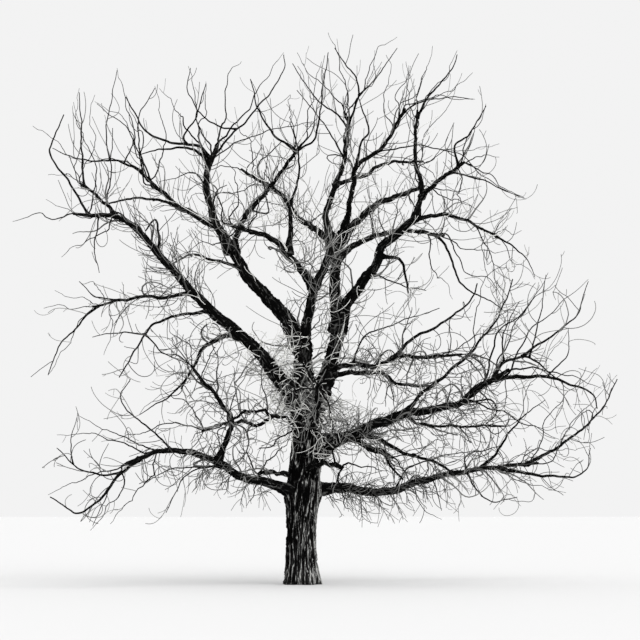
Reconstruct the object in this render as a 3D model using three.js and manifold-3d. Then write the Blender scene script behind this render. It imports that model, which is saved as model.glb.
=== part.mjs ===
// A lone bare tree in winter: a short furrowed trunk that forks at head height and above into rising stems,
// long low limbs near the ground, and fine twigs with no leaves all round the crown.
// Millimetres, +Z up, the flat cut under the trunk on Z = 0 and the viewer on the -Y side.
import * as THREE from "three";
import { mergeVertices } from "three/addons/utils/BufferGeometryUtils.js";
import Module from "manifold-3d";

const wasm = await Module();
wasm.setup();

// Driving sizes in millimetres.
const METRE = 1000;
const CLEARANCE = 0.3;
const TRUNK_SIDES = 20;
const BUTTRESSES = 5;
const BUTTRESS_DEPTH = 0.13;
const BUTTRESS_HEIGHT = 260;
const BUTTRESS_TURN = 0.6;
const BUTTRESS_HOLLOW = 0.5;
const STOUT_LIMB = 170;
const LIMB_STEP = 500;
const COLLAR = 0.6;
const LAST_FORK = 0.985;
const LEADER_TIP = 11;
const LEADER_STEPS = 4;
const TWIG_ROOT = 15;
const TWIG_STEPS = 2;
const TWIGS_PER_LEADER = 2;
const TWIG_GAP = 14;
const LOWEST_TWIG = 1 * METRE;

// Driving shares. The collar's reach and a stem's length are in diameters, and the other lengths are shares
// of the leader.
const COLLAR_REACH = 0.9;
const STEM_LENGTH = 3;
const STEM_TAPER = 0.8;
const LEADER_ROOT = 0.5;
const LEADER_ONWARD = 0.16;
const LEADER_BENDS = [0.4, 0.7];
const LEADER_ARCH = 0.3;
const SWAY = 0.14;
const TRIES = 24;
const TWIG_FIRST = 0.28;
const TWIG_LAST = 0.88;
const TWIG_SHIFT = 0.1;
const TWIG_REACH = 0.42;
const TWIG_SPREAD = 0.85;
const TWIG_LIFT = 0.25;
const TWIG_DROOP = -0.3;
const SPIRAL = THREE.MathUtils.degToRad(137.5);

// The limbs are told as someone sees them who stands 40 m in front of the trunk and looks up a little:
// how far across and how far up from the trunk's foot a bend shows on a sheet that stands square to the
// view at 40 m, and how far behind the trunk it lies, all in metres.
const EYE_AWAY = 40 * METRE;
const EYE_HEIGHT = 1.53 * METRE;
const EYE_RIGHT = 0.412 * METRE;
const EYE_TILT = THREE.MathUtils.degToRad(6.26);
const SHEET_RIGHT = 0.416 * METRE;
const SHEET_UP = 5.985 * METRE;

// The trunk: how far across its axis leans at each height and how wide it is there, in metres.
const TRUNK_LINE = [[0, 0], [1.2, -0.01], [2.5, 0.05], [3.6, 0.12], [4.35, 0.14]];
const TRUNK_WIDTH = [
  [0, 0.88], [0.2, 0.79], [0.45, 0.71], [0.8, 0.665], [1.2, 0.65], [1.55, 0.665], [1.8, 0.7], [2, 0.72],
  [2.15, 0.715], [2.35, 0.69], [2.6, 0.66], [3.2, 0.63], [3.6, 0.66], [3.9, 0.74], [4.15, 0.68], [4.35, 0.45],
];
const TRUNK_TOP = TRUNK_LINE[TRUNK_LINE.length - 1][0];

// Each bough: the limb that carries it, the share of that limb's length where it leaves, its diameter in
// millimetres at the root and at the tip, and the few bends that it passes on its way.
const BOUGHS = {
  left_limb: ["trunk", 0.9, 350, 80,
    [[-0.4, 4.55, -0.2], [-1.05, 5.35, -0.65], [-2.15, 6.3, -1.2], [-3.2, 7.45, -1.75], [-4, 8.25, -2.15],
      [-4.9, 8.35, -2.5]]],
  left_shelf_bough: ["left_limb", 0.55, 88, 45, [[-3, 6.5, -1.8], [-3.65, 6.5, -2.3], [-4.6, 6.3, -3.2]]],
  left_drooping_bough: ["left_limb", 0.34, 132, 54,
    [[-1.8, 5.6, -0.35], [-2.15, 5.4, 0], [-2.4, 5, 0.35], [-2.65, 4.55, 0.6]]],
  left_fan_bough: ["left_limb", 0.9, 90, 54, [[-4.4, 8.6, -1.9], [-4.9, 9, -1.3]]],
  left_stem: ["trunk", 0.9, 425, 220,
    [[0.05, 4.7, 0.1], [-0.05, 5.45, 0.2], [-0.45, 6.15, 0.4], [-1.2, 6.95, 0.75], [-1.6, 7.65, 1]]],
  left_high_limb: ["left_stem", 1, 168, 88, [[-1.8, 7.95, 1.2], [-2.9, 8.65, 2], [-3.45, 9.15, 2.4]]],
  left_leader: ["left_stem", 0.97, 212, 130,
    [[-1.85, 8, 1.15], [-2.1, 8.75, 1.7], [-2.15, 9.2, 2.1], [-2, 9.65, 2.4]]],
  left_inner_bough: ["left_stem", 0.94, 140, 70,
    [[-1.45, 7.9, 0.55], [-1.25, 8.35, 0.1], [-0.85, 8.8, -0.4], [-0.1, 9.8, -1.5]]],
  centre_stem: ["left_stem", 0.28, 232, 178,
    [[0.1, 5.75, -0.2], [0.2, 6.35, -0.4], [0.35, 6.85, -0.5], [0.65, 7.5, -0.4], [0.65, 7.85, -0.25]]],
  centre_leader: ["centre_stem", 1, 160, 82,
    [[0.55, 8.35, 0.1], [0.8, 9.1, 0.3], [0.95, 9.55, 0.4], [1.05, 10.35, 0.6]]],
  front_left_bough: ["centre_stem", 0.56, 178, 76,
    [[0, 7.1, -1], [-0.3, 7.45, -1.6], [-0.65, 7.8, -2.2], [-1.55, 8.1, -3.2]]],
  right_stem: ["trunk", 0.9, 370, 200,
    [[0.5, 4.55, 0.1], [0.8, 5.7, 0.25], [0.75, 6.6, 0.4], [0.8, 7.45, 0.4], [1, 8.1, 0.4]]],
  right_inner_limb: ["right_stem", 1, 136, 62,
    [[1.15, 8.95, -0.35], [1.25, 9.45, -0.9], [1.8, 9.85, -1.5], [2.25, 10.6, -2.2]]],
  back_right_bough: ["right_stem", 0.94, 190, 93,
    [[1.35, 8.3, 1.2], [1.7, 8.6, 2], [2.1, 8.75, 2.8], [2.65, 8.95, 3.9]]],
  back_left_bough: ["right_stem", 0.87, 165, 78,
    [[0.35, 8, 1], [-0.1, 8.3, 1.9], [-0.4, 8.75, 2.7], [-1.25, 9.3, 3.9]]],
  right_shelf_bough: ["centre_leader", 0.49, 105, 56,
    [[1.1, 9.15, 0.9], [1.45, 9.25, 1.5], [1.85, 9.5, 2.1], [2.65, 9.55, 3.2]]],
  right_limb: ["right_stem", 0.44, 262, 160,
    [[1, 6.3, -0.1], [1.3, 6.75, -0.5], [1.65, 7.2, -0.9], [1.8, 7.6, -1.2], [2.6, 8.3, -1.85]]],
  right_high_limb: ["right_limb", 1, 128, 58, [[2.7, 8.85, -1.9], [2.55, 9.7, -1.7], [2.6, 10.55, -1.5]]],
  right_fan_bough: ["right_high_limb", 0.21, 105, 72, [[3, 9.05, -2.4], [3.55, 9.45, -3.3]]],
  right_arching_bough: ["right_limb", 0.97, 98, 50,
    [[3.05, 8.35, -1.3], [3.5, 8.3, -0.8], [3.95, 8.1, -0.2], [4.4, 7.85, 0.3]]],
  right_middle_bough: ["right_stem", 0.82, 145, 86,
    [[1.25, 7.7, 0.9], [2.2, 8, 1.9], [3.05, 7.9, 2.8]]],
  right_low_shelf_bough: ["right_stem", 0.24, 122, 58,
    [[1.15, 5, -0.6], [1.7, 4.95, -1.3], [2.15, 5.15, -1.9], [2.85, 5.15, -2.6], [3.45, 5.2, -3.1]]],
  right_low_limb: ["trunk", 0.64, 285, 110,
    [[0.6, 3.15, -0.25], [1, 3.35, -0.5], [2.25, 3.85, -1.25], [3.5, 4.1, -1.95], [3.95, 4.45, -2.2],
      [4.4, 4.7, -2.4]]],
  right_low_back_bough: ["trunk", 0.74, 180, 90, [[0.65, 3.35, 0.4], [1.1, 3.3, 0.9], [1.9, 2.95, 1.9]]],
  right_low_front_bough: ["right_low_limb", 0.53, 66, 40,
    [[2.65, 3.65, -1.9], [3.1, 3.6, -2.5], [4.45, 3.6, -3.8]]],
  lowest_right_limb: ["trunk", 0.49, 245, 74,
    [[0.55, 2.2, 0.3], [1.1, 2.2, 0.6], [1.75, 2.1, 0.9], [3, 2.45, 1.5], [4.15, 2.65, 2],
      [5.15, 2.75, 2.3]]],
  lowest_left_limb: ["trunk", 0.45, 225, 90,
    [[-0.5, 2.25, -0.3], [-1.45, 2.5, -0.75], [-1.8, 2.75, -0.95], [-2.75, 3.05, -1.45], [-3.3, 3, -1.75],
      [-3.7, 2.85, -1.95]]],
  left_rising_bough: ["lowest_left_limb", 0.54, 138, 62,
    [[-1.75, 3.15, -1.25], [-1.6, 3.5, -1.5], [-1.6, 3.8, -1.8], [-2.4, 4.85, -3]]],
};

// Each mass of twigs: the bough's tip or the share of the trunk that carries it, its stem's diameter in
// millimetres, the stem's bends, how much its leaders arch up, and the ends that its leaders reach.
const MASSES = {
  left_tip_twigs: ["left_limb", 1, 78, [], 0.35,
    [[-6.5, 8.2, -3.3], [-5.15, 10.65, -2.7], [-5.4, 7.4, -3.6], [-5.75, 8.7, -1.5]]],
  left_shelf_twigs: ["left_shelf_bough", 1, 44, [], 0.1,
    [[-5.8, 6.25, -3.8], [-5.7, 4.75, -4.3], [-5.55, 6.65, -2.8], [-4.95, 6.8, -4.5], [-4.45, 5.2, -2.6]]],
  left_drooping_twigs: ["left_drooping_bough", 1, 49, [], -0.2,
    [[-3.65, 3.85, 1.3], [-3.35, 4.15, 0.1], [-2.6, 3.45, 1.9], [-3.2, 5.3, 2.2]]],
  left_fan_twigs: ["left_fan_bough", 1, 51, [], 0.6,
    [[-5, 11.2, -0.7], [-4.65, 11.05, -1.8], [-6.05, 10.35, -1.2], [-5.7, 9.25, -0.2]]],
  left_high_twigs: ["left_high_limb", 1, 86, [], 0.5,
    [[-5.25, 9.65, 3.1], [-4.15, 11.65, 2.6], [-3.95, 11.05, 3.6], [-3.3, 11.25, 1.7], [-4.65, 10.9, 4]]],
  left_leader_twigs: ["left_leader", 1, 116, [], 0.5,
    [[-0.4, 12, 2.3], [-1.35, 11.8, 3.4], [-2.55, 11.7, 1.9], [-3.2, 11.2, 3], [-2.15, 11.35, 3.8]]],
  left_inner_twigs: ["left_inner_bough", 1, 66, [], 0.5,
    [[0.45, 11.8, -1.5], [-1.15, 11.4, -2.2], [-0.25, 11.05, -3.2]]],
  crown_top_twigs: ["centre_leader", 1, 80, [], 0.5,
    [[0.6, 12.45, 0.7], [2.15, 12.35, 1.2], [-0.1, 12, -0.4], [1.65, 12.05, 2], [1.1, 11.5, 2.9]]],
  front_left_twigs: ["front_left_bough", 1, 73, [], 0.3,
    [[-2.5, 9.2, -4.2], [-1.8, 9.6, -4.6], [-2.75, 7.4, -4.6], [-0.9, 9.35, -4.2]]],
  right_inner_twigs: ["right_inner_limb", 1, 60, [], 0.5,
    [[3.9, 10.95, -3], [2.35, 11.8, -2.3], [2.8, 11.6, -3.4], [1.9, 11.95, -1.6]]],
  back_right_twigs: ["back_right_bough", 1, 90, [], 0.2,
    [[4.05, 8.4, 5], [4.05, 9, 4], [3.3, 10.1, 4.8], [3.1, 7.45, 5.2]]],
  back_left_twigs: ["back_left_bough", 1, 73, [], 0.4,
    [[-2.3, 9.5, 4.8], [-0.9, 10.5, 4.5], [-1.7, 10.55, 5.4], [-2.7, 8.55, 5.2]]],
  right_shelf_twigs: ["right_shelf_bough", 1, 54, [], 0.3,
    [[4.45, 9.95, 3.6], [3.5, 11.3, 2.8], [3.7, 8.8, 4.2]]],
  right_high_twigs: ["right_high_limb", 1, 57, [], 0.4,
    [[2.95, 12.15, -1.2], [3.5, 12.05, -1.8], [3.85, 11.55, -0.7], [2.45, 11.7, -0.5]]],
  right_fan_twigs: ["right_fan_bough", 1, 70, [], 0.2,
    [[5.05, 8.7, -3.8], [4.15, 10.85, -3.6], [4.45, 9.65, -4.3], [3.8, 8.55, -4.8]]],
  right_arching_twigs: ["right_arching_bough", 1, 49, [], -0.2,
    [[5.25, 6.9, 0.8], [4.7, 8.5, -0.1], [4.95, 8, 1.3], [4.4, 6.6, 0.2]]],
  right_middle_twigs: ["right_middle_bough", 1, 83, [], -0.3,
    [[4.6, 6.35, 3.8], [4.8, 7.55, 3.2], [3.4, 6.45, 4.2]]],
  right_low_shelf_twigs: ["right_low_shelf_bough", 1, 57, [], 0.6,
    [[4.75, 7.4, -3.5], [3.9, 6.45, -4.3], [4.95, 5.55, -3.9]]],
  right_low_twigs: ["right_low_limb", 1, 105, [], 0.5,
    [[6.75, 4.45, -3], [6.45, 6.9, -2], [5.55, 7.05, -2.9], [5.75, 6.8, -1.2], [5.8, 3.3, -3.6]]],
  right_low_back_twigs: ["right_low_back_bough", 1, 88, [], -0.3,
    [[3.15, 1.5, 3], [2.25, 1.6, 2.4], [3.45, 3.3, 3.8], [2.8, 2.4, 4.2]]],
  right_low_front_twigs: ["right_low_front_bough", 1, 39, [], 0.4,
    [[6, 5.75, -4.6], [4.9, 2.2, -4.8], [5.95, 3.6, -5]]],
  lowest_right_twigs: ["lowest_right_limb", 1, 70, [], 0.3,
    [[7.1, 4.75, 3], [6.65, 4.9, 1.8], [6.5, 3.15, 3.6], [5.95, 2.1, 2.6]]],
  lowest_left_twigs: ["lowest_left_limb", 1, 86, [], 0.1,
    [[-4.75, 1.25, -2.7], [-5.7, 2.05, -3], [-5.5, 3.4, -2.4], [-5.05, 3.85, -1.5], [-4.3, 1.4, -3.6]]],
  left_rising_twigs: ["left_rising_bough", 1, 60, [], 0.4,
    [[-3.45, 5.3, -3.6], [-3, 6.05, -4.1], [-2.15, 5.95, -4.4]]],
  left_mid_twigs: ["trunk", 0.88, 92,
    [[-0.3, 4, 0.5], [-0.9, 3.65, 1.2], [-1.4, 3.7, 1.9], [-1.95, 3.6, 2.6]], 0.1,
    [[-4.5, 3.25, 3.8], [-3.4, 4.5, 4.2], [-2.8, 2.8, 4.4]]],
  left_front_twigs: ["trunk", 0.79, 72, [[-0.35, 3.75, -0.7], [-1.15, 3.95, -2], [-1.55, 3.75, -2.8]], 0.1,
    [[-2.5, 3.25, -3.9], [-2.15, 2.4, -4.3], [-1.55, 4.95, -4.5]]],
  front_twigs: ["trunk", 0.78, 110, [[0.25, 3.7, -1], [0.35, 4, -2.1], [0.35, 4.35, -3.1]], 0.3,
    [[-0.05, 5.75, -5.2], [1.05, 5.4, -5.4], [-0.65, 4.4, -5], [0.7, 3.45, -5.5]]],
  front_low_twigs: ["trunk", 0.58, 110, [[0.25, 2.7, -1], [0.55, 2.75, -2], [0.8, 2.7, -3]], -0.1,
    [[1.15, 1.65, -4.6], [1.95, 2.6, -4.8], [1, 3.75, -5]]],
  back_twigs: ["trunk", 0.81, 120, [[0.05, 4, 1.1], [-0.1, 4.4, 2.2], [-0.1, 4.8, 3.3]], 0.3,
    [[-0.6, 6.45, 5.4], [0.55, 6.45, 5.6], [-1.15, 5.05, 5.2], [0.9, 4.35, 5.4]]],
  back_low_twigs: ["trunk", 0.53, 110, [[-0.25, 2.5, 1.1], [-0.6, 2.55, 2.1], [-0.9, 2.55, 3.2]], 0,
    [[-1.65, 3.3, 4.8], [-1.25, 1.75, 4.8], [-0.25, 3.45, 5.3]]],
  fork_tangle_twigs: ["trunk", 0.85, 70, [[0.25, 3.95, -0.55]], 0.1,
    [[-0.35, 4.5, -0.95], [0.7, 4.55, -1.1], [-0.1, 3.15, -0.85], [0.85, 3.45, -0.9], [0.25, 5.05, -1.25]]],
};

// A place told as it shows on the viewer's sheet becomes the place on that line of sight at its depth.
function place([across, up, depth]) {
  const right = (across * METRE - SHEET_RIGHT) / EYE_AWAY;
  const rise = (up * METRE - SHEET_UP) / EYE_AWAY;
  const reach = (EYE_AWAY + depth * METRE) / (Math.cos(EYE_TILT) - Math.sin(EYE_TILT) * rise);
  const height = EYE_HEIGHT + (Math.cos(EYE_TILT) * rise + Math.sin(EYE_TILT)) * reach;
  return new THREE.Vector3(EYE_RIGHT + right * reach, depth * METRE, height);
}

// A row of random shares from 0 to 1 that is the same on every run.
function shares(seed) {
  let state = seed >>> 0;
  return () => {
    state = (Math.imul(state, 1664525) + 1013904223) >>> 0;
    return state / 4294967296;
  };
}

// The value that a table of [place, value] rows gives between its rows.
function between(rows, at) {
  const after = rows.findIndex((row) => row[0] >= at);
  if (after < 1) return rows[after < 0 ? rows.length - 1 : 0][1];
  const [low, high] = [rows[after - 1], rows[after]];
  return THREE.MathUtils.mapLinear(at, low[0], high[0], low[1], high[1]);
}

function solidOf(geometry) {
  geometry.deleteAttribute("normal");
  geometry.deleteAttribute("uv");
  const merged = mergeVertices(geometry, 1e-3);
  const vertProperties = merged.getAttribute("position").array;
  const triVerts = new Uint32Array(merged.index.array);
  return new wasm.Manifold(new wasm.Mesh({ numProp: 3, vertProperties, triVerts }));
}

function largestBody(solid) {
  return solid.decompose().reduce((best, body) => (body.volume() > best.volume() ? body : best));
}

// The trunk is a cylinder whose level rings are moved to its line, widened to its girth and, near the
// ground, drawn out into the buttresses of its roots.
const trunkLine = new THREE.CatmullRomCurve3(
  TRUNK_LINE.map(([height, across]) => new THREE.Vector3(across * METRE, 0, height * METRE)),
  false,
  "centripetal",
);

function trunkSolid(grow) {
  const rings = TRUNK_WIDTH.length - 1;
  const geometry = new THREE.CylinderGeometry(1, 1, 1, TRUNK_SIDES, rings);
  const position = geometry.getAttribute("position");
  for (let i = 0; i < position.count; i++) {
    const ring = Math.round((position.getY(i) + 0.5) * rings);
    const [metres, width] = TRUNK_WIDTH[ring];
    const height = metres * METRE;
    const angle = Math.atan2(position.getZ(i), position.getX(i));
    const buttress = BUTTRESS_DEPTH * Math.exp(-height / BUTTRESS_HEIGHT);
    const lobe = 1 + buttress * (Math.cos(BUTTRESSES * angle + BUTTRESS_TURN) - BUTTRESS_HOLLOW);
    const out = ((width * METRE) / 2) * lobe + grow;
    const centre = between(TRUNK_LINE, metres) * METRE;
    const level = height + (ring === rings ? grow : 0) - (ring === 0 ? grow : 0);
    position.setXYZ(i, centre + position.getX(i) * out, -position.getZ(i) * out, level);
  }
  return solidOf(geometry);
}

// A limb is a cylinder bent along its curve, each ring square to the curve and as wide as the limb there.
function bentLimb(curve, radiusAt, sides, steps, grow) {
  const geometry = new THREE.CylinderGeometry(radiusAt(1) > 0 ? 1 : 0, 1, 1, sides, steps);
  const frames = curve.computeFrenetFrames(steps);
  const position = geometry.getAttribute("position");
  for (let i = 0; i < position.count; i++) {
    const ring = Math.round((position.getY(i) + 0.5) * steps);
    const [x, z] = [position.getX(i), position.getZ(i)];
    const size = Math.hypot(x, z) > 0 ? 1 / Math.hypot(x, z) : 0;
    const out = (radiusAt(ring / steps) + grow) * size;
    const along = (ring === steps ? grow : 0) - (ring === 0 ? grow : 0);
    const point = curve.getPointAt(ring / steps);
    point.addScaledVector(frames.binormals[ring], x * out);
    point.addScaledVector(frames.normals[ring], z * out);
    point.addScaledVector(frames.tangents[ring], along);
    position.setXYZ(i, point.x, point.y, point.z);
  }
  return solidOf(geometry);
}

// The radius along a limb: an even taper, widened into a collar where the limb leaves its carrier's side.
function taper(root, tip, length, sunk) {
  return (share) => {
    const out = Math.max(0, share * length - sunk);
    const collar = 1 + COLLAR * Math.exp(-out / (COLLAR_REACH * root));
    return (THREE.MathUtils.lerp(root, tip, share) / 2) * collar;
  };
}

function limbCurve(start, bends) {
  return new THREE.CatmullRomCurve3([start, ...bends], false, "centripetal");
}

// The axis of a limb as straight stretches with the limb's radius, for measuring clearances.
function stretches(curve, radiusAt, steps) {
  const points = curve.getSpacedPoints(steps);
  return points.slice(1).map((end, i) => ({
    line: new THREE.Line3(points[i], end),
    radius: radiusAt(i / steps),
  }));
}

// How near two straight stretches come to each other.
function nearest(a, b) {
  const [u, v] = [a.delta(new THREE.Vector3()), b.delta(new THREE.Vector3())];
  const w = a.start.clone().sub(b.start);
  const [uu, uv, vv, uw, vw] = [u.dot(u), u.dot(v), v.dot(v), u.dot(w), v.dot(w)];
  const across = uu * vv - uv * uv;
  let s = across > 1e-9 ? THREE.MathUtils.clamp((uv * vw - vv * uw) / across, 0, 1) : 0;
  const t = THREE.MathUtils.clamp((uv * s + vw) / vv, 0, 1);
  s = THREE.MathUtils.clamp((uv * t - uw) / uu, 0, 1);
  return a.at(s, new THREE.Vector3()).distanceTo(b.at(t, new THREE.Vector3()));
}

function clearOf(own, others) {
  return own.every((a) => others.every((b) => nearest(a.line, b.line) > a.radius + b.radius + TWIG_GAP));
}

// The limbs, each cut clear of every limb before it.
const trunkRadius = (share) => (between(TRUNK_WIDTH, share * TRUNK_TOP) * METRE) / 2;
const limbs = {
  trunk: {
    curve: trunkLine,
    radiusAt: trunkRadius,
    solid: trunkSolid(0),
    grown: trunkSolid(CLEARANCE),
    stretches: stretches(trunkLine, trunkRadius, TRUNK_WIDTH.length),
  },
};

for (const [name, [carrier, share, root, tip, bends]] of Object.entries(BOUGHS)) {
  const fork = Math.min(share, LAST_FORK);
  const curve = limbCurve(limbs[carrier].curve.getPointAt(fork), bends.map(place));
  const radiusAt = taper(root, tip, curve.getLength(), limbs[carrier].radiusAt(fork));
  const sides = root >= STOUT_LIMB ? 8 : 6;
  const steps = Math.max(4, Math.round(curve.getLength() / LIMB_STEP));
  let solid = bentLimb(curve, radiusAt, sides, steps, 0);
  for (const other of Object.values(limbs)) solid = solid.subtract(other.grown);
  limbs[name] = {
    curve,
    radiusAt,
    solid: largestBody(solid),
    grown: bentLimb(curve, radiusAt, sides, steps, CLEARANCE),
    stretches: stretches(curve, radiusAt, 2 * steps),
  };
}

// The stem of each mass runs on from its bough's tip, or out of the trunk along its own bends.
const masses = Object.entries(MASSES).map(([name, [carrier, share, diameter, bends, arch, ends]], index) => {
  const limb = limbs[carrier];
  const radius = diameter / 2;
  const onTrunk = carrier === "trunk";
  const start = limb.curve.getPointAt(onTrunk ? share : LAST_FORK);
  const onward = limb.curve.getPointAt(1).addScaledVector(limb.curve.getTangentAt(1), STEM_LENGTH * diameter);
  const curve = limbCurve(start, onTrunk ? bends.map(place) : [onward]);
  const steps = onTrunk ? 2 * bends.length : 1;
  const radiusAt = (at) => THREE.MathUtils.lerp(radius, STEM_TAPER * radius, at);
  return {
    name,
    limb,
    carrier,
    arch,
    radius,
    random: shares(7919 * (index + 1)),
    tips: ends.map(place),
    top: curve.getPointAt(1),
    onward: curve.getTangentAt(1),
    pieces: [bentLimb(curve, radiusAt, 6, steps, 0)],
    stretches: onTrunk ? stretches(curve, radiusAt, 2 * steps).slice(2) : [],
    leaders: [],
  };
});

// A mass owns the places that lie nearer to its leaders' ends and middles than to any other mass's.
const marks = masses.flatMap((mass) =>
  mass.tips.flatMap((tip) => [
    { mass, at: tip },
    { mass, at: tip.clone().lerp(mass.top, 0.5) },
  ]),
);

function ownerOf(point) {
  return marks.reduce((best, mark) => {
    const away = mark.at.distanceToSquared(point);
    return away < best.away ? { away, mass: mark.mass } : best;
  }, { away: Infinity, mass: null }).mass;
}

// All that a new twig of a mass has to keep clear of.
function inTheWay(mass) {
  const others = masses.filter((other) => other !== mass).flatMap((other) => other.stretches);
  const woods = Object.values(limbs).flatMap((limb) =>
    limb === mass.limb && mass.carrier !== "trunk" ? limb.stretches.slice(0, -2) : limb.stretches,
  );
  return [...others, ...woods];
}

// A leader swings out of the stem, arches up or down and sways a little on its way to its end.
function leaderCurve(mass, tip, sway) {
  const way = tip.clone().sub(mass.top);
  const length = way.length();
  const out = mass.top.clone().addScaledVector(mass.onward, LEADER_ONWARD * length);
  const middle = LEADER_BENDS.map((share) => {
    const point = mass.top.clone().addScaledVector(way, share);
    point.z += mass.arch * length * LEADER_ARCH * Math.sin(Math.PI * share) * (1 - share);
    const swing = new THREE.Vector3(mass.random() - 0.5, mass.random() - 0.5, mass.random() - 0.5);
    return point.addScaledVector(swing, sway * length);
  });
  return limbCurve(mass.top.clone().addScaledVector(mass.onward, -0.5 * mass.radius), [out, ...middle, tip]);
}

for (const mass of masses) {
  for (const tip of mass.tips) {
    const others = inTheWay(mass);
    for (let tried = 0; tried < TRIES; tried++) {
      const curve = leaderCurve(mass, tip, SWAY * (1 + tried / 4));
      const root = LEADER_ROOT * mass.radius;
      const radiusAt = (share) => THREE.MathUtils.lerp(root, LEADER_TIP / 2, share);
      const own = stretches(curve, radiusAt, 10);
      if (!clearOf(own.slice(1), others)) continue;
      mass.pieces.push(bentLimb(curve, radiusAt, 3, LEADER_STEPS, 0));
      mass.stretches.push(...own);
      mass.leaders.push({ curve, radiusAt });
      break;
    }
  }
}

// A side twig leaves its leader in the spiral of the buds and turns up, or down on a drooping mass.
function twigCurve(mass, leader, share, turn) {
  const [start, along] = [leader.curve.getPointAt(share), leader.curve.getTangentAt(share)];
  const level = new THREE.Vector3(-along.y, along.x, 0.01).normalize();
  const side = level.applyAxisAngle(along, turn);
  const length = leader.curve.getLength() * TWIG_REACH * (1.1 - 0.5 * share) * (0.8 + 0.4 * mass.random());
  const way = along.clone().addScaledVector(side, TWIG_SPREAD).normalize();
  const middle = start.clone().addScaledVector(way, 0.5 * length);
  const end = start.clone().addScaledVector(way, length);
  end.z += length * (mass.arch < 0 ? TWIG_DROOP : TWIG_LIFT);
  return limbCurve(start, [middle, end]);
}

for (const mass of masses) {
  const others = inTheWay(mass);
  mass.leaders.forEach((leader, number) => {
    for (let k = 0; k < TWIGS_PER_LEADER; k++) {
      const even = THREE.MathUtils.lerp(TWIG_FIRST, TWIG_LAST, k / TWIGS_PER_LEADER);
      const share = even + TWIG_SHIFT * mass.random();
      const curve = twigCurve(mass, leader, share, SPIRAL * (k + 2 * number));
      const root = Math.min(TWIG_ROOT / 2, 0.8 * leader.radiusAt(share));
      const radiusAt = (at) => root * (1 - at);
      const own = stretches(curve, radiusAt, 4);
      const inside = own.every(({ line }) => ownerOf(line.end) === mass && line.end.z > LOWEST_TWIG);
      if (!inside || !clearOf(own, others)) continue;
      mass.pieces.push(bentLimb(curve, radiusAt, 3, TWIG_STEPS, 0));
      mass.stretches.push(...own);
    }
  });
}

// The scene graph: one named mesh for the trunk, for each bough and for each mass of twigs.
const BARK = new THREE.MeshStandardMaterial({ color: 0x3a3a3a, roughness: 0.95, metalness: 0 });
const TWIG = new THREE.MeshStandardMaterial({ color: 0x565656, roughness: 0.9, metalness: 0 });

function meshOf(name, solid, material) {
  const { vertProperties, triVerts } = solid.getMesh();
  const geometry = new THREE.BufferGeometry();
  geometry.setAttribute("position", new THREE.BufferAttribute(vertProperties, 3));
  geometry.setIndex(new THREE.BufferAttribute(triVerts, 1));
  const mesh = new THREE.Mesh(geometry, material);
  mesh.name = name;
  return mesh;
}

const tree = new THREE.Group();
for (const [name, limb] of Object.entries(limbs)) tree.add(meshOf(name, limb.solid, BARK));
for (const mass of masses) {
  let fused = wasm.Manifold.union(mass.pieces);
  for (const limb of Object.values(limbs)) fused = fused.subtract(limb.grown);
  tree.add(meshOf(mass.name, largestBody(fused), TWIG));
}

export default tree;
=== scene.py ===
# %% [markdown]
# # A bare tree in winter
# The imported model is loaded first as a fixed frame. It holds a trunk, twenty-eight boughs and thirty-one
# masses of twigs as plain solids. Each of them is then replaced by a piece that looks like real wood, in
# the same place, so that nothing has to be fitted afterwards. Lengths are in metres, +Z is up, and the
# viewer of the photograph stands on the -Y side.

import math

import bmesh
import bpy
import numpy as np
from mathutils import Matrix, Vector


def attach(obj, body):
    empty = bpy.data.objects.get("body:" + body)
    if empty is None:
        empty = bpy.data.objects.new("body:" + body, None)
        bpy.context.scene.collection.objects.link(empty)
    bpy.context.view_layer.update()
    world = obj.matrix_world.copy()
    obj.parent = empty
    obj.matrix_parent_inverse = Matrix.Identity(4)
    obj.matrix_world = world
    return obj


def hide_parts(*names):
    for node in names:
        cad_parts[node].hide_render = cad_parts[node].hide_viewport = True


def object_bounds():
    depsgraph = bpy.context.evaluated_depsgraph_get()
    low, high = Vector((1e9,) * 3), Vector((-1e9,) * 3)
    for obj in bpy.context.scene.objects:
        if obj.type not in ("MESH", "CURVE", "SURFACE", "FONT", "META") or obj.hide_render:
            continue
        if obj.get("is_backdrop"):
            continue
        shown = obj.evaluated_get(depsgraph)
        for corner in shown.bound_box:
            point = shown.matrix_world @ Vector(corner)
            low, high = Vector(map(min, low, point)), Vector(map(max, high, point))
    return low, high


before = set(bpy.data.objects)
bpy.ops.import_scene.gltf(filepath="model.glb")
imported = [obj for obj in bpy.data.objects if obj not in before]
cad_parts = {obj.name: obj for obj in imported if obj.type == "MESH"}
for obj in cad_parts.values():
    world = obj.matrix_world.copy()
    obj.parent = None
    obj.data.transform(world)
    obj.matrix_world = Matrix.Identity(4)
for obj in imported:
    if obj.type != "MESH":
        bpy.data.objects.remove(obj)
box_low, box_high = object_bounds()
print("solids in the frame:", len(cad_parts))

# %% [markdown]
# ## The viewer's sheet
# A tree is easiest to describe as someone sees it. Each bend of a limb is told by how far across and how
# far up it shows on a sheet that stands square to the view at the trunk, and by how far behind the trunk
# it lies. The function place turns that into a real position, and seen turns a position back, so that the
# open sky between the limbs can be kept open. The solids were laid out on the same sheet.

# %% The sheet
MILLIMETRE = 0.001
EYE_AWAY = 40.0
EYE_HEIGHT = 1.53
EYE_RIGHT = 0.412
EYE_TILT = math.radians(6.26)
SHEET_RIGHT = 0.416
SHEET_UP = 5.985


def place(across, up, depth):
    right = (across - SHEET_RIGHT) / EYE_AWAY
    rise = (up - SHEET_UP) / EYE_AWAY
    reach = (EYE_AWAY + depth) / (math.cos(EYE_TILT) - math.sin(EYE_TILT) * rise)
    height = EYE_HEIGHT + (math.cos(EYE_TILT) * rise + math.sin(EYE_TILT)) * reach
    return (EYE_RIGHT + right * reach, depth, height)


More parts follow.
